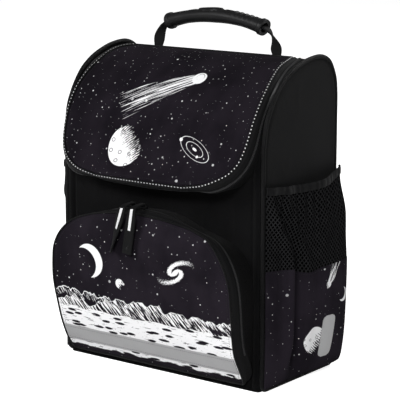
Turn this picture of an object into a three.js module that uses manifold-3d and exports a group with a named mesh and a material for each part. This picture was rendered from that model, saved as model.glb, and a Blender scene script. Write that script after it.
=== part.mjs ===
// School backpack with a stiff arched body: leaning front lid, zipped front pocket,
// bellied side pockets, moulded carrying handle and padded shoulder straps.
// Millimetres. +X is the right hand side seen from the front, -Y is the front, +Z is up.

import * as THREE from 'three';
import Module from 'manifold-3d';

const wasm = await Module();
wasm.setup();

// Body
const bodyWidth = 276;
const bodyDepth = 140;
const bodyHeight = 352;
const panelWall = 2.5;
const clothWall = 1.6;
const baseThickness = 3;
const bottomCorner = 9;
const baseCorner = 4;
const pipingRadius = 2.5;
const clearance = 0.3;
const sideRecess = 0.5;
const frontInset = 1.2;
const topInset = 6;
const topInsetStart = 0.75;
const topInsetFull = 0.93;
const topSag = 2;
const backPadding = 9;
const backPadRise = 3.5;
const backPads = 3;
const backPadFoot = 26;
const yokeZone = 38;

// Lid
const lidOverhang = 36;
const lidWall = 2.8;
const lidCrown = 4;
const lidPipingRadius = 1.3;
const lidBandOut = 7;
const lidBandDrop = 5;
const mouthMargin = 12;
const mouthTop = 0.966;
const hingeBandWidth = 6;
const hingeBandRise = 1.4;

// Front pocket
const pocketDepth = 41;
const lidToPocket = 45;
const pocketWall = 2.8;
const pocketCrown = 3;
const pocketPipingRadius = 1.2;
const pocketSeamIn = 4;
const pocketZipOut = 2;
const pocketBandOut = 6.5;
const pocketBandDrop = 6;
const reflectorLow = 22;
const reflectorHigh = 40.5;
const reflectorWall = 0.8;

// Zippers
const zipperWidth = 6.5;
const sliderLength = 9;
const sliderWidth = 7;
const sliderHeight = 4.5;
const pullerWidth = 13;
const pullerWall = 2.2;
const pullerLength = 46;
const sliderSpacing = 14;
const rightPullerLean = -6;
const leftPullerLean = -14;
const leftPullerTurn = 0.9;
const pullerStandOff = 1.2;
const pullerKick = 2.2;

// Side pockets
const sidePocketSwell = 20;
const sidePocketHeight = 218;
const sidePocketFoot = 5;
const mouthBandHeight = 8.5;
const mouthBandWall = 2.6;
const sideReflectorWidth = 19;
const sideReflectorDepthPlace = 26;
const sideReflectorLow = 23;
const sideReflectorHeight = 46;
const sideReflectorWall = 0.8;

// Handle
const handleDepthPlace = 32;
const handleRise = 43;
const gripLength = 132;
const gripTall = 18;
const gripDeep = 21;
const gripBow = 10;
const handleSpan = 164;
const handleWebWidth = 22;
const handleWebWall = 3;
const handleWebLeave = 9;
const handleWebDrop = 14;

// Shoulder straps
const strapWidth = 62;
const strapWall = 9;
const strapBow = 38;
const strapTopSpread = 76;
const strapLength = 160;
const buckleSpread = 177;
const lowerWebWidth = 25;
const lowerWebWall = 2;
const lowerWebSpread = 216;
const lowerWebHeight = 20;
const buckleWidth = 36;
const buckleHeight = 24;
const buckleWall = 6;
const anchorWidth = 150;
const anchorHeight = 22;
const anchorWall = 4;

// Edge of a side wall: depth is a share of half the body depth, up a share of the height.
const ARCH = [
  { depth: -1.0, up: 0.744 },
  { depth: -0.943, up: 0.81 },
  { depth: -0.843, up: 0.855 },
  { depth: -0.714, up: 0.895 },
  { depth: -0.543, up: 0.932 },
  { depth: -0.286, up: 0.9645 },
  { depth: 0.0, up: 0.986 },
  { depth: 0.214, up: 0.9957 },
  { depth: 0.471, up: 1.0 },
  { depth: 0.643, up: 0.9943 },
  { depth: 0.786, up: 0.98 },
  { depth: 0.886, up: 0.9545 },
  { depth: 0.971, up: 0.915 },
  { depth: 1.0, up: 0.864 },
];

// Lid from its hinge to its lower edge. half is a share of half the body width, depth of half
// the body depth, out of the overhang in front of the body, up of the body height.
const LID_SECTIONS = [
  { half: 0.786, depth: 0.281, out: 0, up: 0.987 },
  { half: 0.829, depth: 0.037, out: 0, up: 0.983 },
  { half: 0.845, depth: -0.226, out: 0, up: 0.968 },
  { half: 0.87, depth: -0.504, out: 0, up: 0.936 },
  { half: 0.887, depth: -0.694, out: 0.01, up: 0.905 },
  { half: 0.896, depth: -0.83, out: 0.09, up: 0.868 },
  { half: 0.898, depth: -0.93, out: 0.21, up: 0.82 },
  { half: 0.89, depth: -1, out: 0.3, up: 0.768 },
  { half: 0.864, depth: -1, out: 0.51, up: 0.716 },
  { half: 0.815, depth: -1, out: 0.67, up: 0.684 },
  { half: 0.747, depth: -1, out: 0.82, up: 0.663 },
  { half: 0.619, depth: -1, out: 0.97, up: 0.642 },
  { half: 0.431, depth: -1, out: 1, up: 0.628 },
];

// Front pocket from its foot to its crown. half is a share of half the body width, out of the
// pocket depth, up of the pocket height; rise lifts the middle of a row, as a share of that height.
const POCKET_SECTIONS = [
  { half: 0.855, out: 0.19, up: 0.057, rise: 0 },
  { half: 0.87, out: 0.38, up: 0.125, rise: 0 },
  { half: 0.864, out: 0.64, up: 0.25, rise: 0 },
  { half: 0.87, out: 0.78, up: 0.375, rise: 0 },
  { half: 0.882, out: 0.9, up: 0.535, rise: 0 },
  { half: 0.873, out: 0.946, up: 0.676, rise: 0.002 },
  { half: 0.846, out: 0.988, up: 0.767, rise: 0.006 },
  { half: 0.792, out: 0.99, up: 0.847, rise: 0.018 },
  { half: 0.72, out: 0.94, up: 0.909, rise: 0.028 },
  { half: 0.638, out: 0.88, up: 0.952, rise: 0.036 },
  { half: 0.493, out: 0.84, up: 0.989, rise: 0.044 },
];

// Side pocket seen from above, front to back. depth is a share of half the body depth, out of
// the swell; print and mouth are the tops of the printed part and of the pocket, as shares of
// the pocket height. The third to sixth rows are the upright fold.
const SIDE_POCKET_PLAN = [
  { depth: -0.965, out: 0.0, print: 0.608, mouth: 1.022 },
  { depth: -0.86, out: 0.17, print: 0.608, mouth: 1.018 },
  { depth: -0.7, out: 0.31, print: 0.606, mouth: 1.013 },
  { depth: -0.52, out: 0.34, print: 0.604, mouth: 1.008 },
  { depth: -0.38, out: 0.17, print: 0.6, mouth: 1.005 },
  { depth: -0.28, out: 0.05, print: 0.585, mouth: 1.002 },
  { depth: -0.18, out: 0.2, print: 0.565, mouth: 1.0 },
  { depth: 0.0, out: 0.52, print: 0.558, mouth: 1.0 },
  { depth: 0.25, out: 0.81, print: 0.572, mouth: 1.004 },
  { depth: 0.5, out: 0.97, print: 0.578, mouth: 1.01 },
  { depth: 0.7, out: 1.0, print: 0.582, mouth: 1.02 },
  { depth: 0.85, out: 0.94, print: 0.584, mouth: 1.032 },
  { depth: 0.945, out: 0.72, print: 0.585, mouth: 1.04 },
  { depth: 0.99, out: 0.38, print: 0.585, mouth: 1.045 },
  { depth: 1.0, out: 0.0, print: 0.585, mouth: 1.045 },
];

// How far the side pocket stands out at each height: both are shares, of height and of swell.
const SIDE_POCKET_RISE = [
  { up: 0.0, swell: 0.0 },
  { up: 0.014, swell: 0.4 },
  { up: 0.045, swell: 0.6 },
  { up: 0.1, swell: 0.74 },
  { up: 0.2, swell: 0.88 },
  { up: 0.36, swell: 0.97 },
  { up: 0.56, swell: 1.0 },
  { up: 0.74, swell: 0.9 },
  { up: 0.88, swell: 0.76 },
  { up: 1.05, swell: 0.6 },
];

// Moulded grip: along is a share of half its length, tall and deep scale its section.
const GRIP_SECTIONS = [
  { along: -1.0, tall: 1.12, deep: 1.08 },
  { along: -0.93, tall: 1.12, deep: 1.08 },
  { along: -0.9, tall: 0.96, deep: 0.96 },
  { along: -0.6, tall: 0.9, deep: 0.94 },
  { along: -0.28, tall: 0.94, deep: 0.98 },
  { along: 0.0, tall: 1.0, deep: 1.0 },
  { along: 0.28, tall: 0.94, deep: 0.98 },
  { along: 0.6, tall: 0.9, deep: 0.94 },
  { along: 0.9, tall: 0.96, deep: 0.96 },
  { along: 0.93, tall: 1.12, deep: 1.08 },
  { along: 1.0, tall: 1.12, deep: 1.08 },
];

// Shoulder strap: down is a share of its length, bow of the bow behind the back, wide of its
// width, apart of the run from its upper to its lower place.
const STRAP_SECTIONS = [
  { down: 0.0, bow: 0.0, wide: 0.8, apart: 0.0 },
  { down: 0.05, bow: 0.0, wide: 0.84, apart: 0.0 },
  { down: 0.1, bow: 0.28, wide: 0.9, apart: 0.06 },
  { down: 0.19, bow: 0.66, wide: 0.96, apart: 0.2 },
  { down: 0.32, bow: 0.9, wide: 1.0, apart: 0.4 },
  { down: 0.5, bow: 1.0, wide: 1.0, apart: 0.62 },
  { down: 0.68, bow: 0.98, wide: 0.96, apart: 0.82 },
  { down: 0.85, bow: 0.88, wide: 0.88, apart: 0.95 },
  { down: 0.95, bow: 0.78, wide: 0.72, apart: 1.0 },
  { down: 0.98, bow: 0.76, wide: 0.6, apart: 1.0 },
  { down: 1.0, bow: 0.76, wide: 0.56, apart: 1.0 },
];

const halfWidth = bodyWidth / 2;
const halfDepth = bodyDepth / 2;
const backSeamHeight = ARCH.at(-1).up * bodyHeight - 2 * clothWall;
const pocketHeight = LID_SECTIONS.at(-1).up * bodyHeight - lidToPocket;
const handleTop = bodyHeight + handleRise;
const strapTopHeight = backSeamHeight - anchorHeight - 4 * clearance;
const panelHalf = halfWidth - 2 * pipingRadius - clearance;
const frontFace = -halfDepth + frontInset;
const backFace = halfDepth - frontInset;
const sideFace = halfWidth - sideRecess;

// Materials
function cloth(color, roughness = 0.85) {
  return new THREE.MeshStandardMaterial({ color, roughness, metalness: 0 });
}

const blackCloth = cloth(0x141415);
const printedCloth = cloth(0x2b2830, 0.6);
const meshCloth = cloth(0x1b1b1d, 0.95);
const bindingCloth = cloth(0x101011, 0.8);
const webbing = cloth(0x121213, 0.9);
const reflective = cloth(0xb9bcbe, 0.4);
const rubber = cloth(0x1a1b1c, 0.55);
const hardPlastic = cloth(0x0e0e0f, 0.4);

const model = new THREE.Group();

function add(name, geometry, material) {
  const mesh = new THREE.Mesh(geometry, material);
  mesh.name = name;
  model.add(mesh);
}

// Solids from point grids

function closedGeometry(points, index) {
  let volume = 0;
  for (let i = 0; i < index.length; i += 3) {
    const [a, b, c] = [points[index[i]], points[index[i + 1]], points[index[i + 2]]];
    volume += a.dot(b.clone().cross(c));
  }
  const turned = volume < 0 ? index.slice().reverse() : index;
  const geometry = new THREE.BufferGeometry().setFromPoints(points);
  geometry.setIndex(turned);
  return geometry;
}

// Closed solid between two grids of points with the same rows and columns.
function solidBetween(front, back, loop = false) {
  const rows = front.length;
  const last = front[0].length - 1;
  const points = [...front.flat(), ...back.flat()];
  const index = [];
  const at = (side, row, col) => (side * rows + (row % rows)) * (last + 1) + col;
  const quad = (a, b, c, d) => index.push(a, b, c, a, c, d);
  const spans = loop ? rows : rows - 1;
  for (let r = 0; r < spans; r++) {
    for (let c = 0; c < last; c++) {
      quad(at(0, r, c), at(0, r, c + 1), at(0, r + 1, c + 1), at(0, r + 1, c));
      quad(at(1, r, c), at(1, r + 1, c), at(1, r + 1, c + 1), at(1, r, c + 1));
    }
    quad(at(0, r, 0), at(0, r + 1, 0), at(1, r + 1, 0), at(1, r, 0));
    quad(at(0, r + 1, last), at(0, r, last), at(1, r, last), at(1, r + 1, last));
  }
  if (!loop) {
    const end = rows - 1;
    for (let c = 0; c < last; c++) {
      quad(at(0, 0, c + 1), at(0, 0, c), at(1, 0, c), at(1, 0, c + 1));
      quad(at(0, end, c), at(0, end, c + 1), at(1, end, c + 1), at(1, end, c));
    }
  }
  return closedGeometry(points, index);
}

// Unit normals of a grid; outward picks the side by a direction it should face.
function gridNormals(grid, outward) {
  const rows = grid.length;
  const cols = grid[0].length;
  const rowAt = (r) => grid[THREE.MathUtils.clamp(r, 0, rows - 1)];
  return grid.map((row, r) =>
    row.map((point, c) => {
      const across = row[Math.min(c + 1, cols - 1)].clone().sub(row[Math.max(c - 1, 0)]);
      const along = rowAt(r + 1)[c].clone().sub(rowAt(r - 1)[c]);
      const normal = across.cross(along).normalize();
      return normal.dot(outward(point)) < 0 ? normal.negate() : normal;
    }),
  );
}

// Sheet of cloth: the grid is its outer face.
function sheet(grid, wall, outward) {
  const normals = gridNormals(grid, outward);
  const inner = grid.map((row, r) =>
    row.map((point, c) => point.clone().addScaledVector(normals[r][c], -wall)),
  );
  return solidBetween(grid, inner);
}

// Solid through rings of points, closed by a flat cap at each end or into a loop.
function loft(rings, loop = false) {
  const sides = rings[0].length;
  const points = rings.flat();
  const index = [];
  const spans = loop ? rings.length : rings.length - 1;
  for (let r = 0; r < spans; r++) {
    const next = (r + 1) % rings.length;
    for (let s = 0; s < sides; s++) {
      const t = (s + 1) % sides;
      index.push(r * sides + s, r * sides + t, next * sides + t);
      index.push(r * sides + s, next * sides + t, next * sides + s);
    }
  }
  if (!loop) {
    for (const [row, turn] of [[0, 1], [rings.length - 1, 0]]) {
      const centre = new THREE.Vector3();
      rings[row].forEach((point) => centre.addScaledVector(point, 1 / sides));
      points.push(centre);
      for (let s = 0; s < sides; s++) {
        const ends = [row * sides + s, row * sides + ((s + 1) % sides)];
        index.push(points.length - 1, ends[turn], ends[1 - turn]);
      }
    }
  }
  return closedGeometry(points, index);
}

// Round cord sewn along a path, seated in the frame of each of its points.
function piping(frames, radius, loop, sides = 6) {
  const rings = frames.map(({ point, normal, out }) =>
    Array.from({ length: sides }, (_, s) => {
      const angle = (2 * Math.PI * s) / sides;
      return point
        .clone()
        .addScaledVector(normal, radius * Math.cos(angle))
        .addScaledVector(out, radius * Math.sin(angle));
    }),
  );
  return loft(rings, loop);
}

// Flat band: one ring of eight points with softened corners.
function bandRing(centre, across, through, width, wall) {
  const corners = [
    [0.5, -0.2], [0.5, 0.2], [0.44, 0.5], [-0.44, 0.5],
    [-0.5, 0.2], [-0.5, -0.2], [-0.44, -0.5], [0.44, -0.5],
  ];
  return corners.map(([w, t]) =>
    centre.clone().addScaledVector(across, w * width).addScaledVector(through, t * wall),
  );
}

function outside(frames, radius) {
  return frames.map((frame) => ({
    ...frame,
    point: frame.point.clone().addScaledVector(frame.out, radius + clearance),
  }));
}

function toManifold(geometry) {
  const vertProperties = new Float32Array(geometry.attributes.position.array);
  const triVerts = new Uint32Array(geometry.index.array);
  return new wasm.Manifold(new wasm.Mesh({ numProp: 3, vertProperties, triVerts }));
}

function fromManifold(solid) {
  const { vertProperties, triVerts } = solid.getMesh();
  const geometry = new THREE.BufferGeometry();
  geometry.setAttribute('position', new THREE.BufferAttribute(vertProperties, 3));
  geometry.setIndex(new THREE.BufferAttribute(triVerts, 1));
  return geometry;
}

function indexed(geometry) {
  const points = [];
  const index = [];
  const seen = new Map();
  const position = geometry.attributes.position;
  for (let i = 0; i < position.count; i++) {
    const point = new THREE.Vector3().fromBufferAttribute(position, i);
    const key = point.toArray().map((v) => v.toFixed(4)).join();
    if (!seen.has(key)) {
      seen.set(key, points.length);
      points.push(point);
    }
    index.push(seen.get(key));
  }
  return closedGeometry(points, index);
}

// Value of a table's column at a place on another column.
function lookUp(table, key, value, column) {
  const next = table.findIndex((row) => row[key] > value);
  if (next <= 0) return table[next === 0 ? 0 : table.length - 1][column];
  const [low, high] = [table[next - 1], table[next]];
  const share = (value - low[key]) / (high[key] - low[key]);
  return THREE.MathUtils.lerp(low[column], high[column], share);
}

function mirrored(geometry) {
  const turned = geometry.clone().applyMatrix4(new THREE.Matrix4().makeScale(-1, 1, 1));
  turned.setIndex(Array.from(turned.index.array).reverse());
  return turned;
}

function addPair(name, geometry, material) {
  add(`${name}_right`, geometry, material);
  add(`${name}_left`, mirrored(geometry), material);
}

// Body: the line that a side wall's edge follows, as points with inward normals in the YZ plane.

const archSteps = 20;

function sideLine() {
  const arch = new THREE.SplineCurve(
    ARCH.map(({ depth, up }) => new THREE.Vector2(depth * halfDepth, up * bodyHeight)),
  ).getSpacedPoints(archSteps);
  const corner = (y, from) =>
    [0, 0.5, 1].map((share) => {
      const angle = from + (share * Math.PI) / 2;
      const centre = new THREE.Vector2(y, bottomCorner);
      return centre.add(new THREE.Vector2(-Math.sin(angle), -Math.cos(angle)).multiplyScalar(bottomCorner));
    });
  const frontCorner = corner(-halfDepth + bottomCorner, 0);
  const backCorner = corner(halfDepth - bottomCorner, -Math.PI / 2);
  const points = [...frontCorner, ...arch, ...backCorner];
  return points.map((point, i) => {
    const before = points[(i + points.length - 1) % points.length];
    const after = points[(i + 1) % points.length];
    const inTangent = point.clone().sub(before).normalize();
    const outTangent = after.clone().sub(point).normalize();
    const tangent = inTangent.add(outTangent).normalize();
    return { point, inward: new THREE.Vector2(tangent.y, -tangent.x) };
  });
}

const edgeLine = sideLine();

function insetLine(inset) {
  return edgeLine.map(({ point, inward }) => point.clone().addScaledVector(inward, inset));
}

// Depth below the edge line at which the wrapped panel lies: more on top than in front.
function wrapInset(z) {
  return THREE.MathUtils.lerp(
    frontInset, topInset,
    THREE.MathUtils.smoothstep(z, topInsetStart * bodyHeight, topInsetFull * bodyHeight),
  );
}

function wrapLine() {
  const arch = edgeLine.slice(3, 3 + archSteps + 1).filter(
    ({ point }) => point.x < 0 || point.y > backSeamHeight + clothWall,
  );
  const front = [baseThickness + clearance, 0.25 * bodyHeight, 0.5 * bodyHeight].map((z) => ({
    point: new THREE.Vector2(-halfDepth, z),
    inward: new THREE.Vector2(1, 0),
  }));
  const seam = {
    point: new THREE.Vector2(halfDepth, backSeamHeight + clearance),
    inward: new THREE.Vector2(-1, 0),
  };
  return [...front, ...arch, seam].map(({ point, inward }) => ({
    point: point.clone().addScaledVector(inward, wrapInset(point.y)),
    inward,
  }));
}

function wrapPoint({ point, inward }, share) {
  const sag = topSag * (1 - share * share) * Math.max(0, -inward.y);
  return new THREE.Vector3(
    share * panelHalf, point.x + sag * inward.x, point.y + sag * inward.y,
  );
}

const wrap = wrapLine();

// Where the wrapped panel lies nearest to a point: its outer surface in the YZ plane.
function onWrap(y, z) {
  let best = null;
  for (let i = 0; i + 1 < wrap.length; i++) {
    const line = new THREE.Line3(
      new THREE.Vector3(0, wrap[i].point.x, wrap[i].point.y),
      new THREE.Vector3(0, wrap[i + 1].point.x, wrap[i + 1].point.y),
    );
    const foot = line.closestPointToPoint(new THREE.Vector3(0, y, z), true, new THREE.Vector3());
    const distance = Math.hypot(foot.y - y, foot.z - z);
    if (!best || distance < best.distance) best = { foot, distance };
  }
  return best;
}

const awayFromMiddle = (point) => new THREE.Vector3(0, point.y, point.z - bodyHeight / 2);

function frontPanel() {
  const shares = [-1, -0.8, -0.4, 0, 0.4, 0.8, 1];
  const grid = wrap.map((row) => shares.map((share) => wrapPoint(row, share)));
  const panel = sheet(grid, panelWall, awayFromMiddle);
  return fromManifold(toManifold(panel).subtract(toManifold(mouthCutter())));
}

// Mouth under the lid: the lid's outline, drawn in, cut straight through the front.
function mouthCutter() {
  const top = mouthTop * bodyHeight;
  const edge = lidEdge.filter(({ z }) => z < top - lidCrown);
  const side = edge.map(({ x, z }) => new THREE.Vector2(x - mouthMargin, z + mouthMargin));
  side.unshift(new THREE.Vector2(side[0].x, top));
  const shape = new THREE.Shape([
    ...side,
    ...side.map(({ x, y }) => new THREE.Vector2(-x, y)).reverse(),
  ]);
  const cutter = new THREE.ExtrudeGeometry(shape, { depth: bodyDepth, bevelEnabled: false });
  cutter.applyMatrix4(new THREE.Matrix4().makeRotationX(Math.PI / 2));
  return indexed(cutter);
}

function backPanel() {
  const padTop = backSeamHeight - yokeZone;
  const levels = [0, 0.12, 0.3, 0.5, 0.7, 0.88, 1].map((v) => THREE.MathUtils.lerp(backPadFoot, padTop, v));
  const heights = [baseThickness + clearance, ...levels, backSeamHeight - clearance];
  const cols = 12;
  const shares = Array.from({ length: cols + 1 }, (_, c) => c / cols);
  const grid = heights.map((z) =>
    shares.map((u) => {
      const v = THREE.MathUtils.clamp((z - backPadFoot) / (padTop - backPadFoot), 0, 1);
      const swell = Math.abs(Math.sin(Math.PI * backPads * u)) * Math.sin(Math.PI * v);
      const y = backFace + backPadRise * Math.sqrt(Math.max(0, swell));
      return new THREE.Vector3((2 * u - 1) * panelHalf, y, z);
    }),
  );
  const inner = grid.map((row) =>
    row.map((point) => new THREE.Vector3(point.x, backFace - backPadding, point.z)),
  );
  return solidBetween(grid, inner);
}

function basePanel() {
  const shape = new THREE.Shape();
  const [x, y, r] = [panelHalf, backFace, baseCorner];
  shape.moveTo(-x + r, -y);
  shape.lineTo(x - r, -y);
  shape.quadraticCurveTo(x, -y, x, -y + r);
  shape.lineTo(x, y - r);
  shape.quadraticCurveTo(x, y, x - r, y);
  shape.lineTo(-x + r, y);
  shape.quadraticCurveTo(-x, y, -x, y - r);
  shape.lineTo(-x, -y + r);
  shape.quadraticCurveTo(-x, -y, -x + r, -y);
  const settings = { depth: baseThickness, bevelEnabled: false, curveSegments: 3 };
  return indexed(new THREE.ExtrudeGeometry(shape, settings));
}

function sidePanel() {
  const shape = new THREE.Shape(insetLine(2 * pipingRadius + clearance));
  const panel = new THREE.ExtrudeGeometry(shape, { depth: panelWall, bevelEnabled: false });
  const axes = [new THREE.Vector3(0, 1, 0), new THREE.Vector3(0, 0, 1), new THREE.Vector3(1, 0, 0)];
  panel.applyMatrix4(new THREE.Matrix4().makeBasis(...axes));
  panel.translate(sideFace - panelWall, 0, 0);
  return indexed(panel);
}

function sidePiping() {
  const frames = edgeLine.map(({ point, inward }) => {
    const centre = point.clone().addScaledVector(inward, pipingRadius);
    return {
      point: new THREE.Vector3(halfWidth - pipingRadius, centre.x, centre.y),
      normal: new THREE.Vector3(0, -inward.x, -inward.y),
      out: new THREE.Vector3(1, 0, 0),
    };
  });
  return piping(frames, pipingRadius, true, 7);
}

// Lid

const lidEdgeSteps = 21;

// Right hand edge of the lid, from the hinge down and round to the lower edge.
function lidEdgePoints() {
  const points = LID_SECTIONS.map(({ half, depth, out, up }) => new THREE.Vector3(
    half * halfWidth, depth * halfDepth - out * lidOverhang, up * bodyHeight,
  ));
  return new THREE.CatmullRomCurve3(points).getSpacedPoints(lidEdgeSteps);
}

const lidEdge = lidEdgePoints();

function lidFace() {
  const cols = 10;
  return lidEdge.map((edge, r) => {
    const v = r / lidEdgeSteps;
    const crown = lidCrown * Math.sin(Math.PI * Math.min(1, 0.1 + 0.75 * v));
    return Array.from({ length: cols + 1 }, (_, c) => {
      const u = (2 * c) / cols - 1;
      const bulge = crown * (1 - u * u) * (v > 0.05 ? 1 : 0);
      return new THREE.Vector3(u * edge.x, edge.y - bulge, edge.z);
    });
  });
}

// Frames along the outline of a face: the point, the face's normal and the way out of the face.
function edgeFrames(face, normals, path, loop) {
  return path.map(([r, c], i) => {
    const at = (k) => {
      const [row, col] = path[loop ? (k + path.length) % path.length : k];
      return face[row][col];
    };
    const before = at(loop ? i - 1 : Math.max(i - 1, 0));
    const after = at(loop ? i + 1 : Math.min(i + 1, path.length - 1));
    const tangent = after.clone().sub(before).normalize();
    const normal = normals[r][c].clone();
    const out = normal.clone().cross(tangent).normalize();
    return { point: face[r][c].clone(), normal, out };
  });
}

function uPath(rows, cols) {
  const path = [];
  for (let r = 0; r < rows; r++) path.push([r, cols]);
  for (let c = cols - 1; c > 0; c--) path.push([rows - 1, c]);
  for (let r = rows - 1; r >= 0; r--) path.push([r, 0]);
  return path;
}

// Cross-section from the piping of a zipped panel back to the body: each frame gets the points
// between which the band, the zipper and the gusset run, on their outer and inner faces.
function zippedEdge(frames, options) {
  const { pipe, bandOut, bandDrop, limit, nearest, zipOut, seamIn } = options;
  const outer = frames.map(({ point, normal, out }) => {
    const start = point.clone().addScaledVector(out, 2 * pipe + 4 * clearance);
    const room = Math.max(2 * clearance, onWrap(point.y, point.z).distance - clothWall - 2 * clearance);
    const drop = Math.min(bandDrop, 0.6 * room);
    const band = point.clone().addScaledVector(out, bandOut).addScaledVector(normal, -drop);
    const deeper = Math.min(zipperWidth * 0.9, room - drop);
    const flatter = Math.min(Math.sqrt(zipperWidth * zipperWidth - deeper * deeper), zipOut);
    const spare = Math.abs(out.x) > 0.2 ? (limit - Math.abs(band.x)) / Math.abs(out.x) : flatter;
    const zip = band
      .clone()
      .addScaledVector(out, THREE.MathUtils.clamp(spare, 2 * clearance, flatter))
      .addScaledVector(normal, -deeper);
    band.y = Math.min(band.y, nearest - clothWall);
    zip.y = Math.min(zip.y, nearest);
    const { foot } = onWrap(zip.y, zip.z);
    const seat = new THREE.Vector3(zip.x, foot.y, foot.z);
    if (out.z > -0.5) seat.addScaledVector(out, -seamIn);
    seat.addScaledVector(zip.clone().sub(seat).normalize(), clearance * 1.5);
    return { points: [start, band, zip, seat], normal, out };
  });
  return outer.map(({ points, normal, out }) => {
    const toward = normal.clone().add(out);
    const plane = normal.clone().cross(out);
    const faces = points.slice(1).map((point, i) => {
      const face = point.clone().sub(points[i]).cross(plane).normalize();
      return face.dot(toward) < 0 ? face.negate() : face;
    });
    const gusset = points[2].distanceTo(points[3]) > clothWall;
    const inner = points.map((point, i) => {
      const before = faces[Math.max(i - 1, 0)];
      const after = i < 2 || (i === 2 && gusset) ? faces[i] : before;
      const mitre = before.clone().add(after).normalize();
      return point.clone().addScaledVector(mitre, -clothWall / Math.max(0.6, mitre.dot(before)));
    });
    return { points, inner, faces, gusset };
  });
}

// One sewn strip between two corners of the cross-section; lift rounds its middle.
function strip(edges, corner, lift, loop) {
  const rowOf = (points, face) => {
    const [a, b] = [points[corner], points[corner + 1]];
    const trim = b.clone().sub(a).normalize().multiplyScalar(clearance);
    const [near, far] = [a.clone().add(trim), b.clone().sub(trim)];
    const middle = near.clone().lerp(far, 0.5).addScaledVector(face, lift);
    return lift ? [near, middle, far] : [near, far];
  };
  return solidBetween(
    edges.map(({ points, faces }) => rowOf(points, faces[corner])),
    edges.map(({ inner, faces }) => rowOf(inner, faces[corner])),
    loop,
  );
}

const lidPanelFace = lidFace();
const lidNormals = gridNormals(lidPanelFace, awayFromMiddle);
const lidCols = lidPanelFace[0].length - 1;
const lidFrames = edgeFrames(lidPanelFace, lidNormals, uPath(lidPanelFace.length, lidCols), false);
const lidEdges = zippedEdge(lidFrames, {
  pipe: lidPipingRadius, bandOut: lidBandOut, bandDrop: lidBandDrop, limit: panelHalf - 2 * clearance,
  nearest: bodyDepth, zipOut: zipperWidth, seamIn: 0,
});

// Band over the seam between the lid and the top, as wide as the lid's hinge.
function hingeBand() {
  const reach = lidEdge[0].x / panelHalf;
  const shares = [-1, -0.6, -0.2, 0.2, 0.6, 1].map((share) => share * reach);
  const first = lidEdge[0].y + clearance;
  const topAt = (y, share) => {
    const { foot } = onWrap(y, bodyHeight);
    const sag = topSag * (1 - share * share);
    return foot.z - sag;
  };
  const rows = [first, first + hingeBandWidth / 2, first + hingeBandWidth];
  const lower = rows.map((y) =>
    shares.map((share) => new THREE.Vector3(share * panelHalf, y, topAt(y, share) + clearance)),
  );
  const rise = [0.2, 1, 0.2];
  const upper = rows.map((y, r) =>
    shares.map((share) => new THREE.Vector3(
      share * panelHalf, y, Math.max(lidEdge[0].z, topAt(y, share) + 1) + hingeBandRise * rise[r],
    )),
  );
  return solidBetween(upper, lower);
}

// Front pocket

const pocketEdgeSteps = 17;
const pocketCols = 10;

function pocketEdgeCurve() {
  return new THREE.CatmullRomCurve3(POCKET_SECTIONS.map(({ half, out, up }) => new THREE.Vector3(
    half * halfWidth, -halfDepth - out * pocketDepth, up * pocketHeight,
  )));
}

const pocketEdge = pocketEdgeCurve().getSpacedPoints(pocketEdgeSteps);

function pocketPoint(edge, u) {
  const up = edge.z / pocketHeight;
  const rise = lookUp(POCKET_SECTIONS, 'up', up, 'rise') * pocketHeight;
  const crown = pocketCrown * THREE.MathUtils.smoothstep(up, 0.1, 0.5);
  const middle = 1 - u * u;
  return new THREE.Vector3(u * edge.x, edge.y - crown * middle, edge.z + rise * middle);
}

const pocketFace = pocketEdge.map((edge) =>
  Array.from({ length: pocketCols + 1 }, (_, c) => pocketPoint(edge, (2 * c) / pocketCols - 1)),
);
const toFront = () => new THREE.Vector3(0, -1, 0.2);

function loopPath(rows, cols) {
  const path = [];
  for (let r = rows - 1; r > 0; r--) path.push([r, cols]);
  for (let c = cols; c > 0; c--) path.push([0, c]);
  for (let r = 0; r < rows - 1; r++) path.push([r, 0]);
  for (let c = 0; c < cols; c++) path.push([rows - 1, c]);
  return path;
}

const pocketNormals = gridNormals(pocketFace, toFront);
const pocketFrames = edgeFrames(
  pocketFace, pocketNormals, loopPath(pocketFace.length, pocketCols), true,
);
const pocketEdges = zippedEdge(pocketFrames, {
  pipe: pocketPipingRadius, bandOut: pocketBandOut, bandDrop: pocketBandDrop, limit: panelHalf,
  nearest: frontFace - 2 * clothWall, zipOut: pocketZipOut, seamIn: pocketSeamIn,
});

// Reflective strip sewn over the lower part of the pocket face.
function pocketReflector() {
  const rowAt = (z) => {
    const edge = pocketEdge.find((point) => point.z >= z);
    const below = pocketEdge[pocketEdge.indexOf(edge) - 1];
    return below.clone().lerp(edge, (z - below.z) / (edge.z - below.z));
  };
  const levels = [0, 0.33, 0.67, 1].map((share) =>
    rowAt(THREE.MathUtils.lerp(reflectorLow, reflectorHigh, share)),
  );
  const inner = levels.map((edge) =>
    Array.from({ length: pocketCols + 1 }, (_, c) => {
      const u = ((2 * c) / pocketCols - 1) * 0.985;
      const point = pocketPoint(edge, u);
      point.y -= clearance;
      return point;
    }),
  );
  const outer = inner.map((row) =>
    row.map((point) => point.clone().add(new THREE.Vector3(0, -reflectorWall, 0))),
  );
  return solidBetween(outer, inner);
}

// Zip sliders side by side at the top of the pocket, each with a ribbon puller.
const [, topBand, topZip] = pocketEdges.reduce((best, edge) => {
  const lower = edge.points[2].z < best.points[2].z - 0.01;
  const farther = Math.abs(edge.points[2].x) > Math.abs(best.points[2].x);
  return lower || farther ? best : edge;
}).points;
const zipAcross = topZip.clone().sub(topBand).setX(0).normalize();
const zipUp = new THREE.Vector3(1, 0, 0).cross(zipAcross).normalize();
if (zipUp.z < 0) zipUp.negate();
const zipMiddle = topBand.clone().lerp(topZip, 0.5).addScaledVector(zipUp, clearance + sliderHeight / 2);
const sliderLow = zipMiddle.z - sliderHeight / 2;

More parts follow.
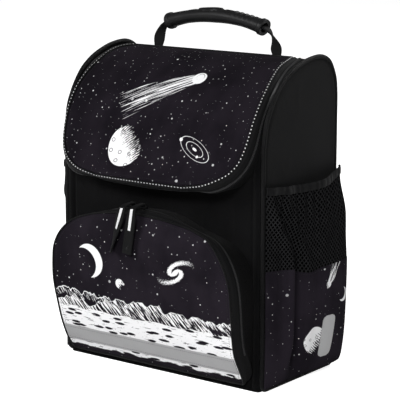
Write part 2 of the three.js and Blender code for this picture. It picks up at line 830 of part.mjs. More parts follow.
function slider(x) {
  const shares = [[-0.5, 0.7], [-0.3, 1], [0.3, 1], [0.5, 0.7]];
  return loft(shares.map(([along, wide]) => bandRing(
    new THREE.Vector3(x + along * sliderLength, zipMiddle.y, zipMiddle.z),
    zipAcross, zipUp, sliderWidth * wide, sliderHeight,
  )));
}

function puller(x, lean, turn) {
  const faceY = -halfDepth - pocketDepth - pocketCrown;
  const top = zipMiddle.clone().addScaledVector(zipUp, sliderHeight / 2 + pullerWall / 2 + clearance);
  const start = new THREE.Vector3(x, top.y, top.z);
  const bend = new THREE.Vector3(x, faceY - pullerWall - pullerStandOff, sliderLow + 1);
  const end = new THREE.Vector3(x + lean, bend.y - pullerKick, sliderLow - pullerLength);
  const path = new THREE.QuadraticBezierCurve3(
    start, new THREE.Vector3(x, bend.y + 1, start.z), bend,
  ).getPoints(3);
  for (const share of [0.2, 0.45, 0.75, 1]) path.push(bend.clone().lerp(end, share));
  return loft(path.map((centre, i) => {
    const before = path[Math.max(i - 1, 0)];
    const after = path[Math.min(i + 1, path.length - 1)];
    const tangent = after.clone().sub(before).normalize();
    const angle = turn * THREE.MathUtils.smoothstep(i, 2, path.length - 1);
    const across = new THREE.Vector3(Math.cos(angle), -Math.sin(angle), 0);
    across.addScaledVector(tangent, -across.dot(tangent)).normalize();
    const through = tangent.clone().cross(across).normalize();
    const wide = pullerWidth * (i === 0 ? 0.5 : THREE.MathUtils.lerp(0.6, 1, i / (path.length - 1)));
    return bandRing(centre, across, through, wide, pullerWall);
  }));
}

// Side pockets

const sideSeat = halfWidth + clearance + clothWall;
const toSide = () => new THREE.Vector3(1, 0.1, 0);

function sidePocketOut(z, extra = 0) {
  const up = (z - sidePocketFoot) / (sidePocketHeight - sidePocketFoot);
  const swell = lookUp(SIDE_POCKET_RISE, 'up', up, 'swell') * sidePocketSwell;
  return ({ depth, out }) => new THREE.Vector3(sideSeat + extra + out * swell, depth * halfDepth, z);
}

function sidePocketPart(levelsAt, wall) {
  const levels = SIDE_POCKET_PLAN.map(levelsAt);
  const grid = levels[0].map((_, r) =>
    SIDE_POCKET_PLAN.map((row, c) => sidePocketOut(levels[c][r], wall - clothWall)(row)),
  );
  return sheet(grid, wall, toSide);
}

function sidePocketPrint() {
  const tall = sidePocketHeight - sidePocketFoot;
  const lower = SIDE_POCKET_RISE.filter(({ up }) => up < 0.5);
  return sidePocketPart(
    ({ print }) => [...lower.map(({ up }) => sidePocketFoot + up * tall), print * sidePocketHeight],
    clothWall,
  );
}

function sidePocketMesh() {
  return sidePocketPart(({ print, mouth }) => {
    const low = print * sidePocketHeight + clearance;
    const high = mouth * sidePocketHeight - mouthBandHeight - clearance;
    return [0, 0.33, 0.66, 1].map((share) => THREE.MathUtils.lerp(low, high, share));
  }, clothWall);
}

function sidePocketBinding() {
  return sidePocketPart(({ mouth }) => {
    const high = mouth * sidePocketHeight;
    return [high - mouthBandHeight, high - mouthBandHeight / 2, high];
  }, mouthBandWall);
}

function sideReflector() {
  const grid = [0, 0.2, 0.5, 0.8, 1].map((rise) =>
    [-0.5, -0.25, 0, 0.25, 0.5].map((side) => {
      const z = sideReflectorLow + rise * sideReflectorHeight;
      const depth = (sideReflectorDepthPlace + side * sideReflectorWidth) / halfDepth;
      const out = lookUp(SIDE_POCKET_PLAN.slice(6, 11), 'depth', depth, 'out');
      return sidePocketOut(z, clearance + sideReflectorWall)({ depth, out });
    }),
  );
  return sheet(grid, sideReflectorWall, toSide);
}

// Handle

const gripSides = 10;

function gripCentre(along) {
  const z = handleTop - gripTall / 2 - gripBow * along * along;
  return new THREE.Vector3((along * gripLength) / 2, handleDepthPlace, z);
}

function handleGrip() {
  return loft(GRIP_SECTIONS.map(({ along, tall, deep }) => {
    const centre = gripCentre(along);
    const slope = (-4 * gripBow * along) / gripLength;
    const up = new THREE.Vector3(-slope, 0, 1).normalize();
    return Array.from({ length: gripSides }, (_, s) => {
      const angle = (2 * Math.PI * s) / gripSides;
      return centre
        .clone()
        .addScaledVector(up, (Math.cos(angle) * gripTall * tall) / 2)
        .add(new THREE.Vector3(0, (Math.sin(angle) * gripDeep * deep) / 2, 0));
    });
  }));
}

// Webbing from the end of the grip to its foot on the top panel, a quarter turn on the way.
function handleWebbing() {
  const end = gripCentre(1);
  const footX = handleSpan / 2;
  const share = footX / panelHalf;
  const footZ = onWrap(handleDepthPlace, bodyHeight).foot.z - topSag * (1 - share * share) + clearance * 2;
  const slope = (-4 * gripBow) / gripLength;
  const leave = new THREE.Vector3(1, 0, slope).normalize();
  const start = end.clone().addScaledVector(leave, clearance * 2);
  const path = new THREE.CubicBezierCurve3(
    start,
    start.clone().addScaledVector(leave, handleWebLeave),
    new THREE.Vector3(footX, handleDepthPlace, footZ + handleWebDrop),
    new THREE.Vector3(footX, handleDepthPlace, footZ),
  );
  const steps = 9;
  return loft(Array.from({ length: steps + 1 }, (_, i) => {
    const t = i / steps;
    const tangent = path.getTangent(t);
    const side = new THREE.Vector3(0, 1, 0);
    const flat = side.clone().cross(tangent).normalize();
    const angle = (Math.PI / 2) * THREE.MathUtils.smoothstep(t, 0.1, 0.85);
    const across = side.clone().multiplyScalar(Math.cos(angle)).addScaledVector(flat, Math.sin(angle));
    const through = tangent.clone().cross(across).normalize();
    const gathered = THREE.MathUtils.lerp(0.72, 1, THREE.MathUtils.smoothstep(t, 0, 0.7));
    return bandRing(path.getPoint(t), across, through, handleWebWidth * gathered, handleWebWall);
  }));
}

// Shoulder straps on the back

const strapSeat = backFace + clearance;

function strapRing(y, z, x, width, wall, tangent) {
  const across = new THREE.Vector3(0, 1, 0).cross(tangent).normalize();
  const through = tangent.clone().cross(across).normalize();
  return bandRing(new THREE.Vector3(x, y, z), across, through, width, wall);
}

function strapPath() {
  return STRAP_SECTIONS.map(({ down, bow, apart }) => new THREE.Vector3(
    THREE.MathUtils.lerp(strapTopSpread, buckleSpread, apart) / 2,
    strapSeat + strapWall / 2 + bow * strapBow,
    strapTopHeight - down * strapLength,
  ));
}

function shoulderStrap() {
  const path = strapPath();
  return loft(path.map((point, i) => {
    const before = path[Math.max(i - 1, 0)];
    const after = path[Math.min(i + 1, path.length - 1)];
    const inside = i > 0 && i + 1 < path.length;
    const tangent = inside ? after.clone().sub(before).normalize() : new THREE.Vector3(0, 0, -1);
    return strapRing(point.y, point.z, point.x, strapWidth * STRAP_SECTIONS[i].wide, strapWall, tangent);
  }));
}

const strapEnd = strapPath().at(-1);
const buckleTop = strapEnd.clone().add(new THREE.Vector3(0, 0, -clearance));

function strapBuckle() {
  const down = new THREE.Vector3(0, 0, -1);
  return loft([0, 0.2, 0.8, 1].map((share) => strapRing(
    buckleTop.y, buckleTop.z - share * buckleHeight, buckleTop.x,
    buckleWidth * (share === 0.2 || share === 0.8 ? 1 : 0.86), buckleWall, down,
  )));
}

function lowerWebbing() {
  const start = buckleTop.clone().add(new THREE.Vector3(0, 0, -buckleHeight - clearance));
  const endY = backFace + lowerWebWall / 2 + clearance;
  const end = new THREE.Vector3(lowerWebSpread / 2, endY, lowerWebHeight);
  const path = new THREE.CubicBezierCurve3(
    start,
    start.clone().add(new THREE.Vector3(0, 0, -0.3 * (start.z - end.z))),
    end.clone().add(new THREE.Vector3(0, 0, 0.35 * (start.z - end.z))),
    end,
  );
  return loft([0, 0.1, 0.3, 0.5, 0.7, 0.9, 1].map((t) => {
    const point = path.getPoint(t);
    return strapRing(point.y, point.z, point.x, lowerWebWidth, lowerWebWall, path.getTangent(t));
  }));
}

// Yoke sewn over the upper ends of the straps.
function strapAnchor() {
  const low = strapTopHeight + clearance;
  const grid = [0, 1].map((up) =>
    [-1, 1].map((side) => new THREE.Vector3(
      (side * anchorWidth) / 2, strapSeat + anchorWall, low + up * anchorHeight,
    )),
  );
  const inner = grid.map((row) =>
    row.map((point) => new THREE.Vector3(point.x, strapSeat, point.z)),
  );
  return solidBetween(grid, inner);
}

add('front_panel', frontPanel(), blackCloth);
add('back_panel', backPanel(), blackCloth);
add('base_panel', basePanel(), blackCloth);
addPair('side_panel', sidePanel(), blackCloth);
addPair('side_piping', sidePiping(), bindingCloth);
add('top_binding', hingeBand(), bindingCloth);
add('lid_panel', sheet(lidPanelFace, lidWall, awayFromMiddle), printedCloth);
add('lid_piping', piping(outside(lidFrames, lidPipingRadius), lidPipingRadius, false), reflective);
add('lid_border', strip(lidEdges, 0, 1, false), bindingCloth);
add('lid_zipper', strip(lidEdges, 1, 0, false), webbing);
add('lid_gusset', strip(lidEdges.filter(({ gusset }) => gusset), 2, 0, false), blackCloth);
add('pocket_face', sheet(pocketFace, pocketWall, toFront), printedCloth);
const pocketCord = outside(pocketFrames, pocketPipingRadius);
add('pocket_piping', piping(pocketCord, pocketPipingRadius, true, 5), bindingCloth);
add('pocket_border', strip(pocketEdges, 0, 1, true), bindingCloth);
add('pocket_zipper', strip(pocketEdges, 1, 0, true), webbing);
add('pocket_gusset', strip(pocketEdges, 2, 0, true), blackCloth);
add('pocket_reflector', pocketReflector(), reflective);
add('pocket_slider_right', slider(0), hardPlastic);
add('pocket_slider_left', slider(-sliderSpacing), hardPlastic);
add('pocket_puller_right', puller(0, rightPullerLean, 0), webbing);
add('pocket_puller_left', puller(-sliderSpacing, leftPullerLean, leftPullerTurn), webbing);
addPair('side_pocket_print', sidePocketPrint(), printedCloth);
addPair('side_pocket_mesh', sidePocketMesh(), meshCloth);
addPair('side_pocket_binding', sidePocketBinding(), bindingCloth);
addPair('side_pocket_reflector', sideReflector(), reflective);
add('handle_grip', handleGrip(), rubber);
addPair('handle_webbing', handleWebbing(), webbing);
add('strap_anchor', strapAnchor(), blackCloth);
addPair('shoulder_strap', shoulderStrap(), blackCloth);
addPair('strap_buckle', strapBuckle(), hardPlastic);
addPair('strap_webbing', lowerWebbing(), webbing);

const box = new THREE.Box3().setFromObject(model);
model.position.set(0, -(box.min.y + box.max.y) / 2, -box.min.z);

export default model;
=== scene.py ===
import math

import bmesh
import bpy
import numpy as np
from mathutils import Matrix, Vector


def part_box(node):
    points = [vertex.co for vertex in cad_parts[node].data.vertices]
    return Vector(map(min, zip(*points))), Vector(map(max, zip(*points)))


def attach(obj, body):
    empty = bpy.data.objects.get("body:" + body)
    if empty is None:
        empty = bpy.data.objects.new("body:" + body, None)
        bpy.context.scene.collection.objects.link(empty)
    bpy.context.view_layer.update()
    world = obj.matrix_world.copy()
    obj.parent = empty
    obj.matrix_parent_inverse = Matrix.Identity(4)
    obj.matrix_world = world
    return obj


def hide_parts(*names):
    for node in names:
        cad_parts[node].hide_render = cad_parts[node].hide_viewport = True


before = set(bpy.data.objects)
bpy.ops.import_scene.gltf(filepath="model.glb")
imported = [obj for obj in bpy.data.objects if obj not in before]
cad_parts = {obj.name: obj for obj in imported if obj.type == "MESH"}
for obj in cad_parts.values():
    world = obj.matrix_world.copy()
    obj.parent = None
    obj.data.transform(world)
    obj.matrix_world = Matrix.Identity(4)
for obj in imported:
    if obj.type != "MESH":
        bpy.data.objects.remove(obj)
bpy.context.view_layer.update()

# School backpack with a stiff arched body. Lengths are in millimetres until a mesh is made.
# +X is the right hand side seen from the front, -Y is the front, +Z is up.

MM = 0.001
CLEARANCE = 0.3
CLOTH = 1.6

piping_low, piping_high = (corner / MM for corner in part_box("side_piping_right"))
half_width = piping_high.x
half_depth = (piping_high.y - piping_low.y) / 2
body_middle = (piping_high.y + piping_low.y) / 2
body_height = piping_high.z

# Body
PIPING_RADIUS = 2.5
BOTTOM_CORNER = 9
BASE_THICKNESS = 3
FRONT_INSET = 1.2
TOP_INSET = 6
TOP_INSET_START = 0.75
TOP_INSET_FULL = 0.93
TOP_SAG = 2
PANEL_WALL = 2.5
SIDE_RECESS = 0.5
BACK_PADDING = 9
BACK_PAD_RISE = 3.5
BACK_PADS = 3
BACK_PAD_FOOT = 26
YOKE_ZONE = 38

# Lid
LID_OVERHANG = 36
LID_WALL = 2.8
LID_CROWN = 4
LID_PIPING = 1.3
LID_BAND_OUT = 7
LID_BAND_DROP = 5
HINGE_BAND_WIDTH = 6
HINGE_BAND_RISE = 1.4

# Front pocket
POCKET_DEPTH = 41
LID_TO_POCKET = 45
POCKET_WALL = 2.8
POCKET_CROWN = 3
POCKET_PIPING = 1.2
POCKET_SEAM_IN = 4
POCKET_ZIP_OUT = 2
POCKET_BAND_OUT = 6.5
POCKET_BAND_DROP = 6
REFLECTOR_LOW = 22
REFLECTOR_HIGH = 40.5
REFLECTOR_WALL = 0.8

# Zippers
ZIP_WIDTH = 6.5
ZIP_TAPE_WALL = 1.0
ZIP_TOOTH_PITCH = 1.4
ZIP_COIL_RISE = 0.35
POCKET_COIL_FOOT = 45
SLIDER_SPACING = 14
PULLER_LENGTH = 46
PULLER_WIDTH = 13
PULLER_WALL = 1.8
RIGHT_PULLER_LEAN = -6
LEFT_PULLER_LEAN = -14
LEFT_PULLER_TURN = 0.9

# Side pockets
SIDE_POCKET_SWELL = 20
SIDE_POCKET_HEIGHT = 218
SIDE_POCKET_FOOT = 5
MOUTH_BAND_HEIGHT = 8.5
MOUTH_BAND_WALL = 2.6
SIDE_REFLECTOR_WIDTH = 19
SIDE_REFLECTOR_HEIGHT = 46
SIDE_REFLECTOR_PLACE = 26
SIDE_REFLECTOR_LOW = 23

# Sewing
STITCH_PITCH = 3.4
FINE_STITCH_PITCH = 2.6
EDGE_STITCH_PITCH = 2.8
EDGE_STITCH_IN = 3.0
PIPING_DOT_PITCH = 4.0
CORD_SIDES = 10

# Handle
HANDLE_RISE = 43
HANDLE_PLACE = 32
GRIP_LENGTH = 132
GRIP_TALL = 18
GRIP_DEEP = 21
GRIP_BOW = 10
HANDLE_SPAN = 164
HANDLE_WEB_WIDTH = 22
HANDLE_WEB_WALL = 3
HANDLE_WEB_LEAVE = 9
HANDLE_WEB_DROP = 14

# Shoulder straps
STRAP_WIDTH = 62
STRAP_WALL = 9
STRAP_SWELL = 1.6
STRAP_RIM_RADIUS = 1.7
STRAP_BOW = 38
STRAP_TOP_SPREAD = 76
STRAP_LENGTH = 160
BUCKLE_SPREAD = 177
LOWER_WEB_WIDTH = 25
LOWER_WEB_WALL = 2
LOWER_WEB_SPREAD = 216
LOWER_WEB_HEIGHT = 20
BUCKLE = (36, 6, 24)
ANCHOR_WIDTH = 150
ANCHOR_HEIGHT = 22
ANCHOR_WALL = 4

# Edge of a side wall: depth as a share of half the body depth, up as a share of its height.
ARCH = [
    (-1.0, 0.744), (-0.943, 0.81), (-0.843, 0.855), (-0.714, 0.895), (-0.543, 0.932),
    (-0.286, 0.9645), (0.0, 0.986), (0.214, 0.9957), (0.471, 1.0), (0.643, 0.9943),
    (0.786, 0.98), (0.886, 0.9545), (0.971, 0.915), (1.0, 0.864),
]
# Lid from hinge to lower edge: half width, depth, way out in front, and height, as shares.
LID_SECTIONS = [
    (0.786, 0.281, 0, 0.987), (0.829, 0.037, 0, 0.983), (0.845, -0.226, 0, 0.968),
    (0.87, -0.504, 0, 0.936), (0.887, -0.694, 0.01, 0.905), (0.896, -0.83, 0.09, 0.868),
    (0.898, -0.93, 0.21, 0.82), (0.89, -1, 0.3, 0.768), (0.864, -1, 0.51, 0.716),
    (0.815, -1, 0.67, 0.684), (0.747, -1, 0.82, 0.663), (0.619, -1, 0.97, 0.642),
    (0.431, -1, 1, 0.628),
]
# Front pocket from foot to crown: half width, way out, height, and rise of a row's middle.
POCKET_SECTIONS = [
    (0.855, 0.19, 0.057, 0), (0.87, 0.38, 0.125, 0), (0.864, 0.64, 0.25, 0),
    (0.87, 0.78, 0.375, 0), (0.882, 0.9, 0.535, 0), (0.873, 0.946, 0.676, 0.002),
    (0.846, 0.988, 0.767, 0.006), (0.792, 0.99, 0.847, 0.018), (0.72, 0.94, 0.909, 0.028),
    (0.638, 0.88, 0.952, 0.036), (0.493, 0.84, 0.989, 0.044),
]
# Side pocket seen from above: depth, way out, and the tops of the printed part and the mouth.
SIDE_POCKET_PLAN = [
    (-0.965, 0.0, 0.608, 1.022), (-0.86, 0.17, 0.608, 1.018), (-0.7, 0.31, 0.606, 1.013),
    (-0.52, 0.34, 0.604, 1.008), (-0.38, 0.17, 0.6, 1.005), (-0.28, 0.05, 0.585, 1.002),
    (-0.18, 0.2, 0.565, 1.0), (0.0, 0.52, 0.558, 1.0), (0.25, 0.81, 0.572, 1.004),
    (0.5, 0.97, 0.578, 1.01), (0.7, 1.0, 0.582, 1.02), (0.85, 0.94, 0.584, 1.032),
    (0.945, 0.72, 0.585, 1.04), (0.99, 0.38, 0.585, 1.045), (1.0, 0.0, 0.585, 1.045),
]
# How far the side pocket stands out at each height.
SIDE_POCKET_RISE = [
    (0.0, 0.0), (0.014, 0.4), (0.045, 0.6), (0.1, 0.74), (0.2, 0.88), (0.36, 0.97),
    (0.56, 1.0), (0.74, 0.9), (0.88, 0.76), (1.05, 0.6),
]
# Shoulder strap: way down, bow behind the back, width, and run from upper to lower place.
STRAP_SECTIONS = [
    (0.0, 0.0, 0.8, 0.0), (0.05, 0.0, 0.84, 0.0), (0.1, 0.28, 0.9, 0.06),
    (0.19, 0.66, 0.96, 0.2), (0.32, 0.9, 1.0, 0.4), (0.5, 1.0, 1.0, 0.62),
    (0.68, 0.98, 0.96, 0.82), (0.85, 0.88, 0.88, 0.95), (0.95, 0.78, 0.72, 1.0),
    (0.98, 0.76, 0.6, 1.0), (1.0, 0.76, 0.56, 1.0),
]

back_seam_height = ARCH[-1][1] * body_height - 2 * CLOTH
pocket_height = LID_SECTIONS[-1][3] * body_height - LID_TO_POCKET
strap_top_height = back_seam_height - ANCHOR_HEIGHT - 4 * CLEARANCE
panel_half = half_width - 2 * PIPING_RADIUS - CLEARANCE
front_face = -half_depth + FRONT_INSET
back_face = half_depth - FRONT_INSET
side_face = half_width - SIDE_RECESS
handle_top = body_height + HANDLE_RISE


# Curves and grids

def smooth(points, steps=24):
    """Curve through the points, as many close places."""
    p = np.asarray(points, float)
    p = np.vstack([2 * p[0] - p[1], p, 2 * p[-1] - p[-2]])
    t = np.linspace(0, 1, steps, endpoint=False)[:, None]
    parts = [
        0.5 * (2 * b + (c - a) * t + (2 * a - 5 * b + 4 * c - d) * t**2 + (3 * b - a - 3 * c + d) * t**3)
        for a, b, c, d in zip(p, p[1:], p[2:], p[3:])
    ]
    return np.vstack([*parts, p[-2:-1]])


def lengths_along(points):
    steps = np.linalg.norm(np.diff(points[:, :3], axis=0), axis=1)
    return np.concatenate([[0], np.cumsum(steps)])


def spaced(points, count):
    """The same curve as count + 1 places at equal lengths along it."""
    lengths = lengths_along(points)
    places = np.linspace(0, lengths[-1], count + 1)
    return np.stack([np.interp(places, lengths, column) for column in points.T], axis=1)


def unit(vectors):
    return vectors / np.maximum(np.linalg.norm(vectors, axis=-1, keepdims=True), 1e-9)


def smoothstep(value, low, high):
    t = np.clip((np.asarray(value, float) - low) / (high - low), 0, 1)
    return t * t * (3 - 2 * t)


def bump_at(value, place, reach):
    """Soft hump of height 1 at a place."""
    return np.exp(-(((value - place) / reach) ** 2))


def grid_normals(grid, toward):
    """Unit normals of a grid of points, on the side of a direction."""
    normals = unit(np.cross(np.gradient(grid, axis=1), np.gradient(grid, axis=0)))
    side = np.sign(np.sum(normals * toward, axis=-1, keepdims=True))
    return normals * np.where(side == 0, 1, side)


# Meshes

def new_object(name, points, faces, corner_uvs, finish):
    """Object from points in millimetres, with its place in its mesh and a UV map in metres."""
    mesh = bpy.data.meshes.new(name)
    place = (np.asarray(points, float) + [0, body_middle, 0]) * MM
    mesh.from_pydata(place.tolist(), [], faces)
    if corner_uvs is not None:
        layer = mesh.uv_layers.new(name="cloth")
        layer.data.foreach_set("uv", (np.asarray(corner_uvs, float) * MM).ravel())
    mesh.materials.append(finish)
    mesh.shade_smooth()
    piece = bpy.data.objects.new(name, mesh)
    bpy.context.scene.collection.objects.link(piece)
    return piece


def grid_parts(rows, cols, loop_rows, loop_cols, flip):
    """Quads of a grid and the unwrapped row and column of each of their corners."""
    r, c = np.meshgrid(
        np.arange(rows if loop_rows else rows - 1), np.arange(cols if loop_cols else cols - 1),
        indexing="ij",
    )
    steps = [(0, 0), (0, 1), (1, 1), (1, 0)]
    if flip:
        steps.reverse()
    corners = np.stack([np.stack([r + a, c + b], -1) for a, b in steps], 2).reshape(-1, 4, 2)
    faces = (corners[..., 0] % rows) * cols + corners[..., 1] % cols
    return faces.tolist(), corners


def grid_uvs(grid, loop_rows, loop_cols):
    """Lengths in millimetres across and along a grid, for each corner place."""
    wide = np.concatenate([grid, grid[:, :1]], 1) if loop_cols else grid
    tall = np.concatenate([wide, wide[:1]], 0) if loop_rows else wide
    across = np.cumsum(np.linalg.norm(np.diff(tall, axis=1), axis=-1), axis=1)
    across = np.concatenate([np.zeros((len(tall), 1)), across], 1)
    across = across - across[:, -1:] / 2
    middle = tall[:, tall.shape[1] // 2]
    along = np.concatenate([[0], np.cumsum(np.linalg.norm(np.diff(middle, axis=0), axis=-1))])
    return np.stack([across, np.repeat(along[:, None], tall.shape[1], 1)], -1)


def surface(name, grid, finish, toward, wall, loop_rows=False):
    """Cloth with the grid as its outer face, and a wall behind it."""
    grid = np.asarray(grid, float)
    rows, cols = grid.shape[:2]
    normals = np.cross(np.gradient(grid, axis=0), np.gradient(grid, axis=1))
    side = np.sum(normals * np.broadcast_to(np.asarray(toward, float), grid.shape))
    faces, corners = grid_parts(rows, cols, loop_rows, False, side > 0)
    corner_uvs = grid_uvs(grid, loop_rows, False)[corners[..., 0], corners[..., 1]].reshape(-1, 2)
    piece = new_object(name, grid.reshape(-1, 3), faces, corner_uvs, finish)
    solid = piece.modifiers.new("wall", "SOLIDIFY")
    solid.thickness = wall * MM
    solid.offset = -1
    solid.use_even_offset = True
    solid.use_quality_normals = True
    return settled(piece)


def settled(piece, angle=40):
    """The piece with its modifiers applied, as one plain mesh with sharp edges marked."""
    depsgraph = bpy.context.evaluated_depsgraph_get()
    mesh = bpy.data.meshes.new_from_object(
        piece.evaluated_get(depsgraph), preserve_all_data_layers=True, depsgraph=depsgraph
    )
    piece.modifiers.clear()
    old = piece.data
    piece.data = mesh
    mesh.name = piece.name
    if old.users == 0:
        bpy.data.meshes.remove(old)
    mesh.shade_smooth()
    mesh.set_sharp_from_angle(angle=math.radians(angle))
    return piece


def loft(name, rings, finish, loop=False):
    """Closed solid through rings of points."""
    rings = np.asarray(rings, float)
    count, sides = rings.shape[:2]
    normals = np.cross(np.gradient(rings, axis=0), np.roll(rings, -1, 1) - np.roll(rings, 1, 1))
    side = np.sum(normals * (rings - rings.mean(axis=1, keepdims=True)))
    faces, corners = grid_parts(count, sides, loop, True, side > 0)
    table = grid_uvs(rings, loop, True)
    corner_uvs = [table[corners[..., 0], corners[..., 1]].reshape(-1, 2)]
    if not loop:
        first, last = list(range(sides)), [(count - 1) * sides + s for s in range(sides)]
        faces += [first[::-1], last] if side <= 0 else [first, last[::-1]]
        corner_uvs.append(np.zeros((2 * sides, 2)))
    piece = new_object(name, rings.reshape(-1, 3), faces, np.vstack(corner_uvs), finish)
    return settled(piece)


def round_ring(centre, across, up, radius, sides, flat=1.0):
    angles = np.linspace(0, 2 * math.pi, sides, endpoint=False)[:, None]
    return centre + across * radius * np.cos(angles) + up * radius * flat * np.sin(angles)


def tube(name, frames, radius, finish, loop=False):
    """Round cord sewn along frames of point, normal and way out."""
    rings = [round_ring(p, o, n, radius, CORD_SIDES) for p, n, o in zip(*frames)]
    return loft(name, rings, finish, loop)


def band_ring(centre, across, through, width, wall, points=5):
    """Section of a flat band with rounded edges."""
    half, thick = width / 2 - wall / 2, wall / 2
    top = [(x, thick) for x in np.linspace(half, -half, points)]
    left = [(-half - thick * math.sin(a), thick * math.cos(a)) for a in (0.8, 1.57, 2.34)]
    right = [(half + thick * math.sin(a), -thick * math.cos(a)) for a in (0.8, 1.57, 2.34)]
    bottom = [(x, -thick) for x in np.linspace(-half, half, points)]
    outline = np.array(top + left + bottom + right)
    return centre + across * outline[:, :1] + through * outline[:, 1:]


# The body's lines

arch_line = smooth([(depth * half_depth, up * body_height) for depth, up in ARCH])


def corner_arc(depth, start):
    angles = start + np.linspace(0, math.pi / 2, 8)
    return np.stack([depth - np.sin(angles) * BOTTOM_CORNER, (1 - np.cos(angles)) * BOTTOM_CORNER], 1)


def side_line(count):
    """Edge of a side wall as a closed loop of depth and height, with inward normals."""
    front, rear = BOTTOM_CORNER - half_depth, half_depth - BOTTOM_CORNER
    loop = np.vstack([corner_arc(front, 0), arch_line, corner_arc(rear, -math.pi / 2)])
    line = spaced(np.vstack([loop, loop[:1]]), count)[:-1]
    tangent = unit(np.roll(line, -1, 0) - np.roll(line, 1, 0))
    return line, np.stack([tangent[:, 1], -tangent[:, 0]], 1)


def wrap_line(count):
    """The wrapped panel's outer line from the front's foot over the top to the back seam."""
    arch = arch_line[(arch_line[:, 0] < 0) | (arch_line[:, 1] > back_seam_height + CLOTH)]
    foot = [[-half_depth, BASE_THICKNESS + CLEARANCE]]
    line = spaced(np.vstack([foot, arch, [[half_depth, back_seam_height + CLEARANCE]]]), count)
    tangent = unit(np.gradient(line, axis=0))
    inward = np.stack([tangent[:, 1], -tangent[:, 0]], 1)
    grown = smoothstep(line[:, 1], TOP_INSET_START * body_height, TOP_INSET_FULL * body_height)
    inset = FRONT_INSET + (TOP_INSET - FRONT_INSET) * grown
    return line + inward * inset[:, None], inward


fine_wrap, _ = wrap_line(1400)


def on_wrap(points):
    """Distance from points to the wrapped panel, and the nearest place on it, as depth and height."""
    places = np.asarray(points, float).reshape(-1, 3)[:, 1:]
    gaps = np.linalg.norm(places[:, None] - fine_wrap[None], axis=2)
    nearest = gaps.argmin(axis=1)
    return gaps[np.arange(len(places)), nearest], fine_wrap[nearest]


# Zipped panels: the frames along their outline, and what runs from there back to the body

def path_frames(face, normals, path, count, loop):
    """Evenly spaced frames along an outline: place, face normal and way out of the face."""
    rows, cols = np.array(path).T
    line, facing = face[rows, cols], normals[rows, cols]
    if loop:
        line, facing = np.vstack([line, line[:1]]), np.vstack([facing, facing[:1]])
    both = spaced(np.hstack([line, facing]), count)
    line, facing = both[:, :3], unit(both[:, 3:])
    if loop:
        line, facing = line[:-1], facing[:-1]
        tangent = unit(np.roll(line, -1, 0) - np.roll(line, 1, 0))
    else:
        tangent = unit(np.gradient(line, axis=0))
    return line, facing, unit(np.cross(facing, tangent))


def moved_out(frames, distance, lift=0.0):
    line, facing, out = frames
    return line + out * distance + facing * lift, facing, out


def zipped_edge(frames, pipe, band_out, band_drop, limit, nearest, zip_out, seam_in):
    """Corners of the cross-section behind a zipped panel's edge: piping, band, zipper, seat."""
    line, facing, out = frames
    start = line + out * (2 * pipe + 4 * CLEARANCE)
    distance, _ = on_wrap(line)
    room = np.maximum(2 * CLEARANCE, distance - CLOTH - 2 * CLEARANCE)[:, None]
    drop = np.minimum(band_drop, 0.6 * room)
    band = line + out * band_out - facing * drop
    deeper = np.minimum(ZIP_WIDTH * 0.9, room - drop)
    flatter = np.minimum(np.sqrt(ZIP_WIDTH**2 - deeper**2), zip_out)
    sideways = np.abs(out[:, :1])
    spare = np.where(sideways > 0.2, (limit - np.abs(band[:, :1])) / np.maximum(sideways, 0.01), flatter)
    end = band + out * np.clip(spare, 2 * CLEARANCE, np.maximum(flatter, 2 * CLEARANCE)) - facing * deeper
    band[:, 1] = np.minimum(band[:, 1], nearest - CLOTH)
    end[:, 1] = np.minimum(end[:, 1], nearest)
    _, foot = on_wrap(end)
    seat = np.column_stack([end[:, 0], foot])
    seat -= out * np.where(out[:, 2:] > -0.5, seam_in, 0)
    return [start, band, end, seat]


def softened(values, passes=3, loop=False):
    """Rows of points, evened out along the outline."""
    values = values.copy()
    for _ in range(passes):
        if loop:
            values = (np.roll(values, 1, 0) + 2 * values + np.roll(values, -1, 0)) / 4
        else:
            values[1:-1] = (values[:-2] + 2 * values[1:-1] + values[2:]) / 4
    return values


def evened(frames, loop=False):
    """The frames with their directions evened out along the outline."""
    line, facing, out = frames
    return line, unit(softened(facing, 30, loop)), unit(softened(out, 30, loop))


def strip_grid(near, far, toward, lift, count, loop=False):
    """Grid between two edges of a sewn strip, its middle rounded up by lift."""
    near, far = softened(near, loop=loop), softened(far, loop=loop)
    shares = np.linspace(0, 1, count)[None, :, None]
    grid = near[:, None] * (1 - shares) + far[:, None] * shares
    along = np.roll(near, -1, 0) - np.roll(near, 1, 0) if loop else np.gradient(near, axis=0)
    face = unit(np.cross(far - near, along))
    side = np.sum(face * toward, axis=1, keepdims=True)
    face = face * np.where(side < 0, -1, 1)
    return grid + face[:, None] * lift * np.sin(math.pi * shares), face


# Lid

LID_ROWS, LID_COLS = 120, 84


def lid_grid():
    edge = spaced(smooth([
        (half * half_width, depth * half_depth - out * LID_OVERHANG, up * body_height)
        for half, depth, out, up in LID_SECTIONS
    ]), LID_ROWS)
    v = np.linspace(0, 1, LID_ROWS + 1)[:, None]
    u = np.linspace(-1, 1, LID_COLS + 1)[None]
    crown = LID_CROWN * np.sin(math.pi * np.minimum(1, 0.1 + 0.75 * v)) * smoothstep(v, 0, 0.08)
    return np.stack([
        u * edge[:, :1], edge[:, 1:2] - crown * (1 - u * u), edge[:, 2:] + 0 * u,
    ], -1)


def u_path(rows, cols):
    return (
        [(r, cols) for r in range(rows)] + [(rows - 1, c) for c in range(cols - 1, 0, -1)]
        + [(r, 0) for r in range(rows - 1, -1, -1)]
    )


